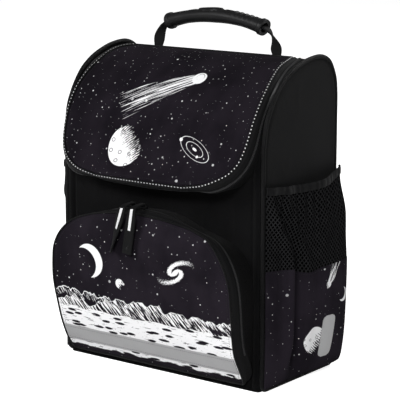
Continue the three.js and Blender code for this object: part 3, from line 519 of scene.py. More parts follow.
lid_face = lid_grid()
lid_out = lid_face * [0, 1, 1] - [0, 0, body_height / 2]
lid_normals = grid_normals(lid_face, lid_out)
lid_frames = evened(path_frames(lid_face, lid_normals, u_path(LID_ROWS + 1, LID_COLS), 300, False))
lid_corners = zipped_edge(
    lid_frames, LID_PIPING, LID_BAND_OUT, LID_BAND_DROP, panel_half - 2 * CLEARANCE,
    2 * half_depth, ZIP_WIDTH, 0,
)
lid_corners[1:] = [softened(corner, 16) for corner in lid_corners[1:]]


# Front pocket

POCKET_ROWS, POCKET_COLS = 96, 92


def pocket_edge(count):
    rows = smooth([
        (half * half_width, -half_depth - out * POCKET_DEPTH, up * pocket_height, rise * pocket_height)
        for half, out, up, rise in POCKET_SECTIONS
    ])
    return spaced(rows, count)


def pocket_surface(edge, u, lift=0.0):
    """Pocket face at rows of its edge and shares across it."""
    crown = POCKET_CROWN * smoothstep(edge[:, 2:3] / pocket_height, 0.1, 0.5)
    middle = 1 - u * u
    return np.stack([
        u * edge[:, :1], edge[:, 1:2] - crown * middle - lift, edge[:, 2:3] + edge[:, 3:] * middle,
    ], -1)


def loop_path(rows, cols):
    return (
        [(r, cols) for r in range(rows - 1, 0, -1)] + [(0, c) for c in range(cols, 0, -1)]
        + [(r, 0) for r in range(rows - 1)] + [(rows - 1, c) for c in range(cols)]
    )


pocket_face = pocket_surface(pocket_edge(POCKET_ROWS), np.linspace(-1, 1, POCKET_COLS + 1)[None])
pocket_normals = grid_normals(pocket_face, [0, -1, 0.2])
pocket_frames = evened(path_frames(
    pocket_face, pocket_normals, loop_path(POCKET_ROWS + 1, POCKET_COLS), 320, True,
), True)
pocket_corners = zipped_edge(
    pocket_frames, POCKET_PIPING, POCKET_BAND_OUT, POCKET_BAND_DROP, panel_half,
    front_face - 2 * CLOTH, POCKET_ZIP_OUT, POCKET_SEAM_IN,
)
pocket_corners[1:] = [softened(corner, 16, True) for corner in pocket_corners[1:]]


# Side pockets

side_seat = half_width + CLEARANCE + CLOTH
plan_scale = np.array([1, SIDE_POCKET_SWELL, SIDE_POCKET_SWELL, SIDE_POCKET_SWELL])
plan_line = spaced(smooth([
    (depth * half_depth, out, printed, mouth) for depth, out, printed, mouth in SIDE_POCKET_PLAN
]) * plan_scale, 110) / plan_scale
rise_line = smooth(SIDE_POCKET_RISE)


def pocket_swell(z):
    up = (z - SIDE_POCKET_FOOT) / (SIDE_POCKET_HEIGHT - SIDE_POCKET_FOOT)
    return np.interp(up, rise_line[:, 0], rise_line[:, 1]) * SIDE_POCKET_SWELL


def side_surface(columns, z, extra, fold):
    """Side pocket's outer face at plan columns and heights; z has a row for each level."""
    depth, out = columns[None, :, 0], np.maximum(columns[None, :, 1], 0)
    x = side_seat + extra + out * pocket_swell(z) + fold
    return np.stack([x, depth + 0 * x, z + 0 * x], -1)


def levels_between(low, high, count):
    shares = np.linspace(0, 1, count + 1)[:, None]
    return low[None] * (1 - shares) + high[None] * shares


# Shader wiring

class Wire:
    """An output in a shader tree. Arithmetic on it adds Math nodes."""

    def __init__(self, tree, socket):
        self.tree = tree
        self.socket = socket

    def math(self, operation, *others):
        node = self.tree.nodes.new("ShaderNodeMath")
        node.operation = operation
        for slot, value in zip(node.inputs, (self, *others)):
            feed(self.tree, slot, value)
        return Wire(self.tree, node.outputs[0])

    def __add__(self, other):
        return self.math("ADD", other)

    def __sub__(self, other):
        return self.math("SUBTRACT", other)

    def __mul__(self, other):
        return self.math("MULTIPLY", other)

    def __truediv__(self, other):
        return self.math("DIVIDE", other)

    def __neg__(self):
        return self * -1

    def __rsub__(self, other):
        return -self + other

    def __rtruediv__(self, other):
        return self.power(-1.0) * other

    __radd__ = __add__
    __rmul__ = __mul__

    def size(self):
        return self.math("ABSOLUTE")

    def least(self, other):
        return self.math("MINIMUM", other)

    def most(self, other):
        return self.math("MAXIMUM", other)

    def power(self, other):
        return self.math("POWER", other)

    def wave(self, length):
        """From 0 to 1 and back once in each length."""
        return (self * (2 * math.pi / length)).math("SINE") * 0.5 + 0.5

    def step(self, low, high):
        """Soft step from 0 at low to 1 at high."""
        node = self.tree.nodes.new("ShaderNodeMapRange")
        node.interpolation_type = "SMOOTHSTEP"
        for slot, value in zip(node.inputs, (self, low, high, 0.0, 1.0)):
            feed(self.tree, slot, value)
        return Wire(self.tree, node.outputs[0])

    def below(self, limit, soft):
        return self.step(limit + soft, limit - soft)


def feed(tree, slot, value):
    if isinstance(value, Wire):
        tree.links.new(value.socket, slot)
    else:
        slot.default_value = value


def combine(tree, x, y):
    node = tree.nodes.new("ShaderNodeCombineXYZ")
    for slot, value in zip(node.inputs, (x, y)):
        feed(tree, slot, value)
    return Wire(tree, node.outputs[0])


def apart(tree, vector):
    node = tree.nodes.new("ShaderNodeSeparateXYZ")
    feed(tree, node.inputs[0], vector)
    return [Wire(tree, output) for output in node.outputs]


def noise(x, y, across, up, detail, seed=0.0, rough=0.5):
    """Noise with the given lengths across and up, about 0.5 in the middle."""
    tree = x.tree
    node = tree.nodes.new("ShaderNodeTexNoise")
    node.noise_dimensions = "2D"
    feed(tree, node.inputs["Vector"], combine(tree, x / across + seed, y / up + seed))
    node.inputs["Scale"].default_value = 1
    node.inputs["Detail"].default_value = detail
    node.inputs["Roughness"].default_value = rough
    return Wire(tree, node.outputs[0])


def cells(x, y, across, up, seed=0.0, randomness=1.0):
    """Distance to scattered points, in cells, and the random colour of each."""
    tree = x.tree
    node = tree.nodes.new("ShaderNodeTexVoronoi")
    node.voronoi_dimensions = "2D"
    feed(tree, node.inputs["Vector"], combine(tree, x / across + seed, y / up + seed))
    node.inputs["Scale"].default_value = 1
    node.inputs["Randomness"].default_value = randomness
    return Wire(tree, node.outputs["Distance"]), apart(tree, Wire(tree, node.outputs["Color"]))


def shader_group(name, inputs, outputs, build):
    """Node group with named values in and out; build works out the outputs."""
    tree = bpy.data.node_groups.new(name, "ShaderNodeTree")
    for label, default in inputs.items():
        kind = "NodeSocketVector" if default is None else "NodeSocketFloat"
        socket = tree.interface.new_socket(label, in_out="INPUT", socket_type=kind)
        if default is not None:
            socket.default_value = default
    for label in outputs:
        tree.interface.new_socket(label, in_out="OUTPUT", socket_type="NodeSocketFloat")
    entry = tree.nodes.new("NodeGroupInput")
    leave = tree.nodes.new("NodeGroupOutput")
    results = build(*[Wire(tree, entry.outputs[label]) for label in inputs])
    for slot, value in zip(leave.inputs, results):
        feed(tree, slot, value)
    return tree


def placed(tree, group, vector, **values):
    """The group in a material: its outputs as wires, by name."""
    node = tree.nodes.new("ShaderNodeGroup")
    node.node_tree = group
    feed(tree, node.inputs[0], vector)
    for label, value in values.items():
        feed(tree, node.inputs[label], value)
    return {output.name: Wire(tree, output) for output in node.outputs}


# Shared effects. Vectors are a piece's own cloth map or its place, in metres.

def build_weave(vector, thread, slack):
    x, y, _ = apart(vector.tree, vector)
    wobble = noise(x, y, 0.012, 0.012, 2) * slack
    warp = ((x + wobble * thread) * (math.pi / thread)).math("SINE")
    weft = ((y + wobble * thread) * (math.pi / thread)).math("SINE")
    over = (warp * weft).step(-0.15, 0.15)
    height = warp.size().power(0.6) * over + weft.size().power(0.6) * (1 - over)
    upright = noise(x, y, thread * 1.4, thread * 12, 3, 4.0)
    level = noise(x, y, thread * 12, thread * 1.4, 3)
    return height, upright * 0.5 + level * 0.5


def build_creases(vector, length, depth):
    x, y, _ = apart(vector.tree, vector)
    broad = noise(x, y, length, length * 1.7, 2, 2.0)
    sharp = 1 - (noise(x, y, length * 0.7, length * 1.2, 3, 7.0) * 2 - 1).size()
    # broad makes the crease height and is also the Shade output, which cloth_finish paints into the colour as
    # painted shade of the hollows.
    return (broad + sharp.power(6) * 0.35) * depth, broad


def build_stars(vector, cell, largest, share):
    x, y, _ = apart(vector.tree, vector)
    distance, (chance, size, glow) = cells(x, y, cell, cell)
    radius = largest * (size.power(3) * 0.8 + 0.2)
    seen = chance.below(share, 0.01)
    dot = (distance * cell / radius).step(1.15, 0.75)
    return (dot * seen * (glow * 0.6 + 0.4),)


def build_mesh_holes(vector, cell, strand):
    x, y, _ = apart(vector.tree, vector)
    stretch = cell * 0.8
    one = ((x / cell + y / stretch) * math.pi).math("SINE").size()
    two = ((x / cell - y / stretch) * math.pi).math("SINE").size()
    near = one.least(two)
    return near.below(strand, 0.06), (1 - near).power(2)


def build_ribs(vector, pitch, sharpness):
    x, y, _ = apart(vector.tree, vector)
    ribs = (y * (math.pi / pitch)).math("SINE").size().power(sharpness)
    fine = noise(x, y, pitch * 0.5, pitch * 4, 2)
    return ribs * 0.8 + fine * 0.2, ribs


weave_group = shader_group(
    "fine_weave", {"Vector": None, "Thread": 0.0005, "Slack": 1.0}, ["Height", "Shade"], build_weave)
crease_group = shader_group(
    "soft_creases", {"Vector": None, "Length": 0.05, "Depth": 1.0}, ["Height", "Shade"], build_creases)
star_group = shader_group(
    "star_dots", {"Vector": None, "Cell": 0.012, "Largest": 0.001, "Share": 0.6}, ["Mask"], build_stars)
net_group = shader_group(
    "open_net", {"Vector": None, "Cell": 0.0022, "Strand": 0.42}, ["Cover", "Height"], build_mesh_holes)
rib_group = shader_group(
    "woven_ribs", {"Vector": None, "Pitch": 0.0012, "Sharpness": 1.0}, ["Height", "Shade"], build_ribs)


# Finishes

def new_finish(name, coordinates="UV"):
    """A material with its Principled shader, and the vector that its patterns read."""
    material = bpy.data.materials.new(name)
    material.use_nodes = True
    tree = material.node_tree
    shader = tree.nodes["Principled BSDF"]
    if coordinates == "UV":
        node = tree.nodes.new("ShaderNodeUVMap")
        node.uv_map = "cloth"
        vector = Wire(tree, node.outputs[0])
    else:
        vector = Wire(tree, tree.nodes.new("ShaderNodeTexCoord").outputs["Object"])
    return material, tree, shader, vector


def blended(tree, share, first, second):
    """Colour from first to second by share."""
    node = tree.nodes.new("ShaderNodeMix")
    node.data_type = "RGBA"
    feed(tree, node.inputs["Factor"], share)
    for slot, colour in ((node.inputs[6], first), (node.inputs[7], second)):
        feed(tree, slot, (*colour, 1) if isinstance(colour, tuple) else colour)
    return Wire(tree, node.outputs[2])


def grey(value):
    """Neutral colour with a trace more blue, as on black plastic."""
    return value, value, value * 1.05


def bumped(tree, shader, height, depth, under=None):
    """Bump of a depth in millimetres, over another bump if one is given."""
    node = tree.nodes.new("ShaderNodeBump")
    node.inputs["Strength"].default_value = 1
    node.inputs["Distance"].default_value = depth * MM
    feed(tree, node.inputs["Height"], height)
    if under:
        tree.links.new(under.socket, node.inputs["Normal"])
    tree.links.new(node.outputs[0], shader.inputs["Normal"])
    return Wire(tree, node.outputs[0])


def cloth_finish(name, dark, light, thread, crease, rough=0.82, shine=0.03, length=0.05):
    """Plain woven cloth: threads, soft creases and a little sheen, with painted shade in the crease hollows.
    """
    material, tree, shader, vector = new_finish(name)
    weave = placed(tree, weave_group, vector, Thread=thread)
    folds = placed(tree, crease_group, vector, Length=length, Depth=1.0)
    # The colour mixes the threads' own random tone with the crease height, so fold tops are lighter and fold
    # hollows darker: painted shade.
    tone = weave["Shade"] * 0.6 + folds["Shade"] * 0.4
    feed(tree, shader.inputs["Base Color"], blended(tree, tone.step(0.3, 0.7), dark, light))
    feed(tree, shader.inputs["Roughness"], weave["Shade"] * 0.16 + (rough - 0.08))
    shader.inputs["Sheen Weight"].default_value = 0.02
    shader.inputs["Sheen Roughness"].default_value = 0.4
    shader.inputs["Specular IOR Level"].default_value = shine
    under = bumped(tree, shader, folds["Height"], crease)
    bumped(tree, shader, weave["Height"], thread / MM * 0.3, under)
    return material


def ribbed_finish(name, dark, light, pitch, depth, rough=0.7):
    """Tape or webbing with ribs across its length, its colour darker in the grooves between the ribs as
    painted shade.
    """
    material, tree, shader, vector = new_finish(name)
    ribs = placed(tree, rib_group, vector, Pitch=pitch)
    # Colour follows the rib height: painted shade in the grooves, lighter on the rib tops.
    feed(tree, shader.inputs["Base Color"], blended(tree, ribs["Height"], dark, light))
    feed(tree, shader.inputs["Roughness"], rough - ribs["Shade"] * 0.12)
    shader.inputs["Sheen Weight"].default_value = 0.02
    shader.inputs["Specular IOR Level"].default_value = 0.05
    bumped(tree, shader, ribs["Height"], depth)
    return material


def moulded_finish(name, dark, light, rough, grain, depth):
    """Moulded plastic or rubber with a fine grain. dark and light are greys."""
    material, tree, shader, vector = new_finish(name, "Object")
    x, y, z = apart(tree, vector)
    speck = noise(x + z * 0.7, y - z * 0.4, grain, grain, 3)
    cloud = noise(x - z, y + z * 0.6, 0.02, 0.02, 2, 5.0)
    feed(tree, shader.inputs["Base Color"], blended(tree, cloud, grey(dark), grey(light)))
    feed(tree, shader.inputs["Roughness"], cloud * 0.18 + speck * 0.1 + (rough - 0.14))
    shader.inputs["Specular IOR Level"].default_value = 0.16
    bumped(tree, shader, speck, depth)
    return material


def reflective_finish(name, tone, cell):
    """Retroreflective tape: pale grey with a fine honeycomb of beads."""
    material, tree, shader, vector = new_finish(name)
    x, y, _ = apart(tree, vector)
    distance, (chance, _, _) = cells(x, y, cell, cell, 0.0, 0.15)
    cloud = noise(x, y, 0.03, 0.03, 2)
    pale = tuple(value * 1.1 for value in tone)
    dim = tuple(value * 0.88 for value in tone)
    feed(tree, shader.inputs["Base Color"], blended(tree, cloud * 0.7 + chance * 0.3, dim, pale))
    feed(tree, shader.inputs["Roughness"], cloud * 0.2 + 0.32)
    shader.inputs["Specular IOR Level"].default_value = 0.6
    bumped(tree, shader, distance, cell / MM * 0.12)
    return material


# Night prints: plain stars, a comet, moons, a galaxy and a cratered ground, in millimetres

def turned(x, y, centre, degrees):
    cos, sin = math.cos(math.radians(degrees)), math.sin(math.radians(degrees))
    right, up = x - centre[0], y - centre[1]
    return right * cos + up * sin, up * cos - right * sin


def distance_from(x, y, centre):
    return ((x - centre[0]).power(2) + (y - centre[1]).power(2)).power(0.5)


def cratered_moon(x, y, centre, radius):
    """White disc with crater rims and a hatched dark side."""
    along, across = turned(x, y, centre, -40)
    disc = (along.power(2) + across.power(2)).power(0.5).below(radius, 0.25)
    rims, (chance, _, _) = cells(x, y, radius * 0.56, radius * 0.5, centre[0], 0.55)
    crater = (rims - 0.17).size().below(0.035, 0.03) * chance.below(0.7, 0.02)
    shade = (along / radius) + (noise(x, y, 4, 4, 3) - 0.5) * 0.9
    lines = (across + noise(x, y, 9, 9, 2) * 3).wave(2.3)
    hatch = (lines + shade * 1.5).step(0.85, 1.15)
    return disc * (1 - (crater * 0.85).most(hatch))


def comet(x, y, centre, degrees, length, head):
    """Round head and a tail of engraved streaks that fans out."""
    along, across = turned(x, y, centre, degrees)
    share = along / length
    half = share.most(0).power(0.8) * head * 1.5 + head * 0.8
    inside = (across.size() / half).below(0.96, 0.06) * along.step(-1, 1) * share.below(1.0, 0.02)
    streaks = noise(along, across + along * 0.02, length * 0.5, 1.15, 2, centre[0])
    kept = (streaks - share * 0.24 - (across.size() / half) * 0.1).step(0.33, 0.4)
    disc = (along.power(2) + across.power(2)).power(0.5).below(head, 0.3)
    mark = distance_from(along, across, (-head * 0.15, head * 0.2)) - head * 0.55
    rim = mark.size().below(0.35, 0.2) * across.step(-head * 0.4, head * 0.2)
    return (inside * kept).most(disc * (1 - rim * 0.9))


def crescent(x, y, centre, radius, degrees):
    along, across = turned(x, y, centre, degrees)
    full = distance_from(along, across, (0, 0)).below(radius, 0.25)
    dark = distance_from(along, across, (radius * 0.5, 0)).below(radius * 0.93, 0.25)
    return full * (1 - dark)


def galaxy(x, y, centre, radius, degrees, flat):
    """Two winding arms of dots round a bright middle."""
    along, across = turned(x, y, centre, degrees)
    across = across / flat
    reach = (along.power(2) + across.power(2)).power(0.5)
    angle = across.math("ARCTAN2", along)
    arms = (angle * 2 + reach.most(0.4).math("LOGARITHM", math.e) * 4.2).math("SINE") * 0.5 + 0.5
    grain = noise(x, y, 0.9, 0.9, 2, 3.0)
    light = arms * 0.75 + grain * 0.9 - reach / radius * 0.75
    core = reach.below(radius * 0.16, 0.5)
    return (light.step(0.52, 0.62) * reach.below(radius, 1.0)).most(core)


def orbits(x, y, centre, radii, degrees, flat):
    """Thin ellipses with a small planet on each."""
    along, across = turned(x, y, centre, degrees)
    reach = (along.power(2) + (across / flat).power(2)).power(0.5)
    light = reach.below(3.2, 0.3)
    for index, radius in enumerate(radii):
        light = light.most((reach - radius).size().below(0.42, 0.2) * 0.9)
        turn = 0.9 + 2.1 * index
        spot = (math.cos(turn) * radius, math.sin(turn) * radius * flat)
        light = light.most(distance_from(along, across, spot).below(1.5 + 0.5 * index, 0.25))
    return light


def dunes(x, y, base, height, length, seed, slope):
    """Upper line of a range of hills: how far a place lies above it."""
    ridge = 1 - (noise(x, x * 0, length, 1, 3, seed, 0.6) * 2 - 1).size()
    return y - (ridge.power(2) * height + x * slope + base)


def ground(x, y, level, foot):
    """Hills drawn in strokes behind a white cratered plain."""
    far = dunes(x, y, level + 1, 17, 46, 11.0, -0.04)
    near = dunes(x, y, level - 3, 24, 62, 3.5, 0.05)
    strokes = noise(x + y * 0.55, y, 1.3, 9, 2, 6.0)
    far_strokes = (strokes - 0.57).step(0, 0.05) * far.below(0, 0.4) * (far + 9).step(0, 2)
    far_light = far.size().below(0.5, 0.3).most(far_strokes)
    rock = noise(x + y * 0.8, y, 2.2, 13, 3, 1.0)
    near_strokes = (rock + (near + 10).step(-6, 12) * 0.12 - 0.56).step(0, 0.05)
    near_light = near_strokes.most(near.size().below(0.45, 0.3))
    light = far_light * near.step(-0.3, 0.3) + near_light * near.below(0, 0.3)
    plain = y - level + (noise(x, y, 24, 5, 3, 8.0) - 0.5) * 7
    rims, _ = cells(x + noise(x, y, 9, 4, 2) * 7, y, 30, 7.5, 2.0, 1.0)
    pits = rims.below(0.21, 0.03)
    specks = noise(x, y, 3.2, 1.3, 2, 14.0).step(0.72, 0.76)
    scratches = noise(x, y, 17, 1.5, 3, 9.0).step(0.66, 0.7)
    soil = 1 - pits.most(specks).most(scratches * 0.9)
    light = light * plain.step(-0.4, 0.4) + soil * plain.below(0, 0.4)
    edge = y - foot - (noise(x, y, 16, 6, 3, 21.0) - 0.5) * 9
    return light * edge.step(-0.3, 0.5)


def build_lid_print(vector):
    x, y, _ = apart(vector.tree, vector)
    x, y = x * (1 / MM), y * (1 / MM)
    light = comet(x, y, (34, 68), 152, 96, 8.5)
    light = light.most(cratered_moon(x, y, (-30, 158), 23))
    return (light.most(orbits(x, y, (62, 152), (13, 22), 28, 0.42)),)


def build_pocket_print(vector):
    x, _, y = apart(vector.tree, vector)
    x, y = x * (1 / MM), y * (1 / MM)
    light = galaxy(x, y, (54, 128), 27, 24, 0.55)
    light = light.most(crescent(x, y, (-66, 124), 19, 205))
    light = light.most(cratered_moon(x, y, (-24, 104), 5.5))
    return (light.most(ground(x, y, 66, 16)),)


def build_side_print(vector):
    _, x, y = apart(vector.tree, vector)
    x, y = (x * (1 / MM)) - body_middle, y * (1 / MM)
    light = comet(x, y, (26, 104), 62, 34, 3.6)
    light = light.most(crescent(x, y, (52, 88), 8, 150))
    return (light.most(cratered_moon(x, y, (8, 44), 15)),)


lid_print_group = shader_group("lid_print", {"Vector": None}, ["Mask"], build_lid_print)
pocket_print_group = shader_group("pocket_print", {"Vector": None}, ["Mask"], build_pocket_print)
side_print_group = shader_group("side_print", {"Vector": None}, ["Mask"], build_side_print)


NIGHT = (0.0105, 0.0088, 0.012)
NIGHT_LIT = (0.0175, 0.0144, 0.0196)


def printed_finish(name, print_group, coordinates, star_plane, dense, tone):
    """Smooth cloth with a dark night print. star_plane picks the axes that the stars lie on. tone scales the
    night colours of the one printed cloth per panel: lower is painted shade, higher is painted light.
    """
    material, tree, shader, vector = new_finish(name, coordinates)
    parts = apart(tree, vector)
    flat = combine(tree, parts[star_plane[0]], parts[star_plane[1]])
    small = placed(tree, star_group, flat, Cell=0.0062, Largest=0.0008, Share=0.42 * dense)["Mask"]
    large = placed(tree, star_group, flat, Cell=0.021, Largest=0.0017, Share=0.55 * dense)["Mask"]
    weave = placed(tree, weave_group, flat, Thread=0.0004)
    folds = placed(tree, crease_group, flat, Length=0.07, Depth=1.0)
    motifs = placed(tree, print_group, vector)["Mask"]
    light = (small * 0.8).most(large).most(motifs)
    haze = noise(parts[star_plane[0]], parts[star_plane[1]], 0.045, 0.06, 3, 9.0)
    # tone darkens or lightens the same print's ground by panel, as painted shade and painted light for how
    # the lamps fall on it.
    dark, paler = (tuple(value * tone for value in colour) for colour in (NIGHT, NIGHT_LIT))
    night = blended(tree, haze.step(0.3, 0.7), dark, paler)
    feed(tree, shader.inputs["Base Color"], blended(tree, light, night, (0.84, 0.84, 0.85)))
    feed(tree, shader.inputs["Roughness"], weave["Shade"] * 0.14 + 0.72)
    shader.inputs["Specular IOR Level"].default_value = 0.0
    shader.inputs["Sheen Weight"].default_value = 0.01
    under = bumped(tree, shader, folds["Height"], 0.5)
    bumped(tree, shader, weave["Height"], 0.06, under)
    return material


NET_CELL = 0.0044
NET_CELL_SLIMNESS = 0.6
NET_STRAND = 0.52


def net_finish(name):
    """Knitted net, a little see-through in its holes, which are taller than wide. The holes are painted near
    black, as painted shade of the pocket's dark inside.
    """
    material, tree, shader, vector = new_finish(name)
    x, y, _ = apart(tree, vector)
    upright = combine(tree, x, y * NET_CELL_SLIMNESS)
    net = placed(tree, net_group, upright, Cell=NET_CELL, Strand=NET_STRAND)
    tone = noise(x, y, 0.004, 0.012, 2)
    strand = blended(tree, tone, grey(0.0102), grey(0.0222))
    # The holes are painted near black: painted shade standing in for the dark inside of the pocket.
    feed(tree, shader.inputs["Base Color"], blended(tree, net["Cover"], grey(0.0008), strand))
    feed(tree, shader.inputs["Alpha"], net["Cover"] * 0.06 + 0.94)
    shader.inputs["Roughness"].default_value = 0.62
    shader.inputs["Specular IOR Level"].default_value = 0.0
    bumped(tree, shader, net["Height"], 0.35)
    return material


def coil_finish(name):
    material, tree, shader, vector = new_finish(name, "Object")
    x, y, z = apart(tree, vector)
    tone = noise(x + z, y - z, 0.004, 0.004, 2)
    feed(tree, shader.inputs["Base Color"], blended(tree, tone, (0.018, 0.018, 0.019), (0.04, 0.04, 0.041)))
    feed(tree, shader.inputs["Roughness"], tone * 0.2 + 0.3)
    return material


BLACK = (0.0028, 0.0028, 0.003)
BLACK_LIT = (0.0062, 0.0062, 0.0065)
DEEP = (0.0022, 0.0022, 0.0024)
DEEP_LIT = (0.006, 0.006, 0.0063)

body_cloth = cloth_finish("body_cloth", BLACK, BLACK_LIT, 0.0005, 0.7, length=0.06)
side_cloth = cloth_finish("side_cloth", BLACK, BLACK_LIT, 0.0005, 1.2, 0.6, 0.07, 0.09)
rim_cloth = cloth_finish("rim_cloth", DEEP, DEEP_LIT, 0.0005, 0.3, 0.46, 0.1, 0.012)
spacer_cloth = cloth_finish("spacer_cloth", BLACK, BLACK_LIT, 0.0016, 0.4, 0.9, length=0.04)
base_cloth = cloth_finish("base_cloth", DEEP, DEEP_LIT, 0.0007, 0.3, 0.8)
binding_tape = ribbed_finish("binding_tape", DEEP, grey(0.009), 0.0009, 0.18)
mouth_tape = ribbed_finish("mouth_tape", grey(0.0035), grey(0.011), 0.0011, 0.14, 0.6)
zip_tape = ribbed_finish("zip_tape", DEEP, grey(0.008), 0.0007, 0.12, 0.75)
strap_webbing = ribbed_finish("strap_webbing", DEEP, grey(0.011), 0.0016, 0.35, 0.65)
puller_webbing = ribbed_finish("puller_webbing", DEEP, grey(0.008), 0.0012, 0.2, 0.6)
grip_rubber = moulded_finish("grip_rubber", 0.006, 0.011, 0.46, 0.0007, 0.06)
black_plastic = moulded_finish("black_plastic", 0.008, 0.014, 0.36, 0.0009, 0.03)
enamel = moulded_finish("black_enamel", 0.008, 0.012, 0.24, 0.002, 0.015)
thread_black = ribbed_finish("black_thread", grey(0.014), grey(0.035), 0.0004, 0.05, 0.6)
thread_grey = ribbed_finish("grey_thread", (0.12, 0.12, 0.122), (0.24, 0.24, 0.243), 0.0004, 0.05, 0.6)
# The front strip and the side patch are the same reflective tape in two greys: the strip's darker grey is
# painted shade where the key light falls hard, the patch's paler grey painted light on the dimmer side.
reflective_tape = reflective_finish("reflective_tape", (0.33, 0.33, 0.335), 0.0007)
patch_tape = reflective_finish("patch_tape", (0.41, 0.41, 0.415), 0.0007)
reflective_stripe = reflective_finish("reflective_stripe", (0.66, 0.66, 0.67), 0.0006)
# The lid's print is darker (painted shade, where the key light falls hard) and the side pockets' print paler
# (painted light, where less light falls) than the one cloth would be.
lid_print = printed_finish("lid_print", lid_print_group, "UV", (0, 1), 1.0, 0.74)
pocket_print = printed_finish("pocket_print", pocket_print_group, "Object", (0, 2), 0.7, 0.92)
side_print = printed_finish("side_print", side_print_group, "Object", (1, 2), 0.7, 1.12)
pocket_net = net_finish("pocket_net")
zip_coil = coil_finish("zip_coil")


# Rows of small repeated things

def build_repeat_tree():
    """Geometry Nodes tree that sets copies of a piece along a path at an even pitch."""
    tree = bpy.data.node_groups.new("repeat_along_path", "GeometryNodeTree")
    sockets = {
        "Path": "NodeSocketGeometry", "Pitch": "NodeSocketFloat", "Copy": "NodeSocketObject",
        "Finish": "NodeSocketMaterial",
    }
    for label, kind in sockets.items():
        tree.interface.new_socket(label, in_out="INPUT", socket_type=kind)
    tree.interface.new_socket("Geometry", in_out="OUTPUT", socket_type="NodeSocketGeometry")
    new, link = tree.nodes.new, tree.links.new
    entry, leave = new("NodeGroupInput"), new("NodeGroupOutput")
    curve, even = new("GeometryNodeMeshToCurve"), new("GeometryNodeResampleCurve")
    even.mode = "LENGTH"
    link(entry.outputs["Path"], curve.inputs["Mesh"])
    link(curve.outputs["Curve"], even.inputs["Curve"])
    link(entry.outputs["Pitch"], even.inputs["Length"])
    tangent, facing = new("GeometryNodeInputTangent"), new("GeometryNodeInputNamedAttribute")
    facing.data_type = "FLOAT_VECTOR"
    facing.inputs["Name"].default_value = "facing"
    along, upright = new("FunctionNodeAlignRotationToVector"), new("FunctionNodeAlignRotationToVector")
    along.axis, upright.axis, upright.pivot_axis = "X", "Z", "X"
    link(tangent.outputs[0], along.inputs["Vector"])
    link(along.outputs[0], upright.inputs["Rotation"])
    link(facing.outputs["Attribute"], upright.inputs["Vector"])
    shape, copies = new("GeometryNodeObjectInfo"), new("GeometryNodeInstanceOnPoints")
    link(entry.outputs["Copy"], shape.inputs["Object"])
    link(even.outputs["Curve"], copies.inputs["Points"])
    link(shape.outputs["Geometry"], copies.inputs["Instance"])
    link(upright.outputs[0], copies.inputs["Rotation"])
    real, paint = new("GeometryNodeRealizeInstances"), new("GeometryNodeSetMaterial")
    link(copies.outputs[0], real.inputs[0])
    link(real.outputs[0], paint.inputs["Geometry"])
    link(entry.outputs["Finish"], paint.inputs["Material"])
    link(paint.outputs[0], leave.inputs[0])
    return tree


repeat_tree = build_repeat_tree()


def small_shape(name, build):
    """A mesh that copies are made of, round its own origin and along X."""
    mesh = bpy.data.meshes.new(name)
    work = bmesh.new()
    build(work)
    bmesh.ops.recalc_face_normals(work, faces=work.faces)
    work.to_mesh(mesh)
    work.free()
    mesh.shade_smooth()
    shape = bpy.data.objects.new(name, mesh)
    bpy.context.scene.collection.objects.link(shape)
    return shape


def bead_maker(length, width, tall, sides=6):
    """Rounded bead, longer along X."""
    def build(work):
        bmesh.ops.create_uvsphere(work, u_segments=sides, v_segments=4, radius=0.5)
        for vertex in work.verts:
            x, y, z = vertex.co
            vertex.co = Vector((z * length, x * width, y * tall)) * MM
    return build


def row_of(name, paths, shape, pitch, finish):
    """Copies of a shape along each path; a path is its places and its facing directions."""
    points, edges, facings = [], [], []
    for line, facing, loop in paths:
        start = len(points)
        points += ((np.asarray(line) + [0, body_middle, 0]) * MM).tolist()
        facings += np.asarray(facing, float).tolist()
        edges += [(i, i + 1) for i in range(start, len(points) - 1)]
        if loop:
            edges.append((len(points) - 1, start))
    mesh = bpy.data.meshes.new(name)
    mesh.from_pydata(points, edges, [])
    layer = mesh.attributes.new("facing", "FLOAT_VECTOR", "POINT")
    layer.data.foreach_set("vector", np.ravel(facings))
    piece = bpy.data.objects.new(name, mesh)
    bpy.context.scene.collection.objects.link(piece)
    nodes = piece.modifiers.new("repeat", "NODES")
    nodes.node_group = repeat_tree
    values = {"Pitch": pitch * MM, "Copy": shape, "Finish": finish}
    for item in repeat_tree.interface.items_tree:
        if item.name in values and item.in_out == "INPUT":
            nodes[item.identifier] = values[item.name]
    settled(piece)
    if "facing" in piece.data.attributes:
        piece.data.attributes.remove(piece.data.attributes["facing"])
    return piece


stitch_shape = small_shape("stitch_shape", bead_maker(2.3, 0.62, 0.5))
fine_stitch_shape = small_shape("fine_stitch_shape", bead_maker(1.7, 0.5, 0.42))
dot_shape = small_shape("dot_shape", bead_maker(2.1, 1.6, 1.4, 10))
tooth_shape = small_shape("tooth_shape", bead_maker(0.95, 3.0, 1.1))
dimple_shape = small_shape("dimple_shape", bead_maker(1.5, 1.5, 0.7))


# Pieces

def hand(side):
    return "right" if side > 0 else "left"


def dress(piece, slot, *nodes):
    """The piece rides on the one body and stands for its CAD nodes. slot is not used."""
    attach(piece, "root")
    if nodes:
        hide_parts(*nodes)


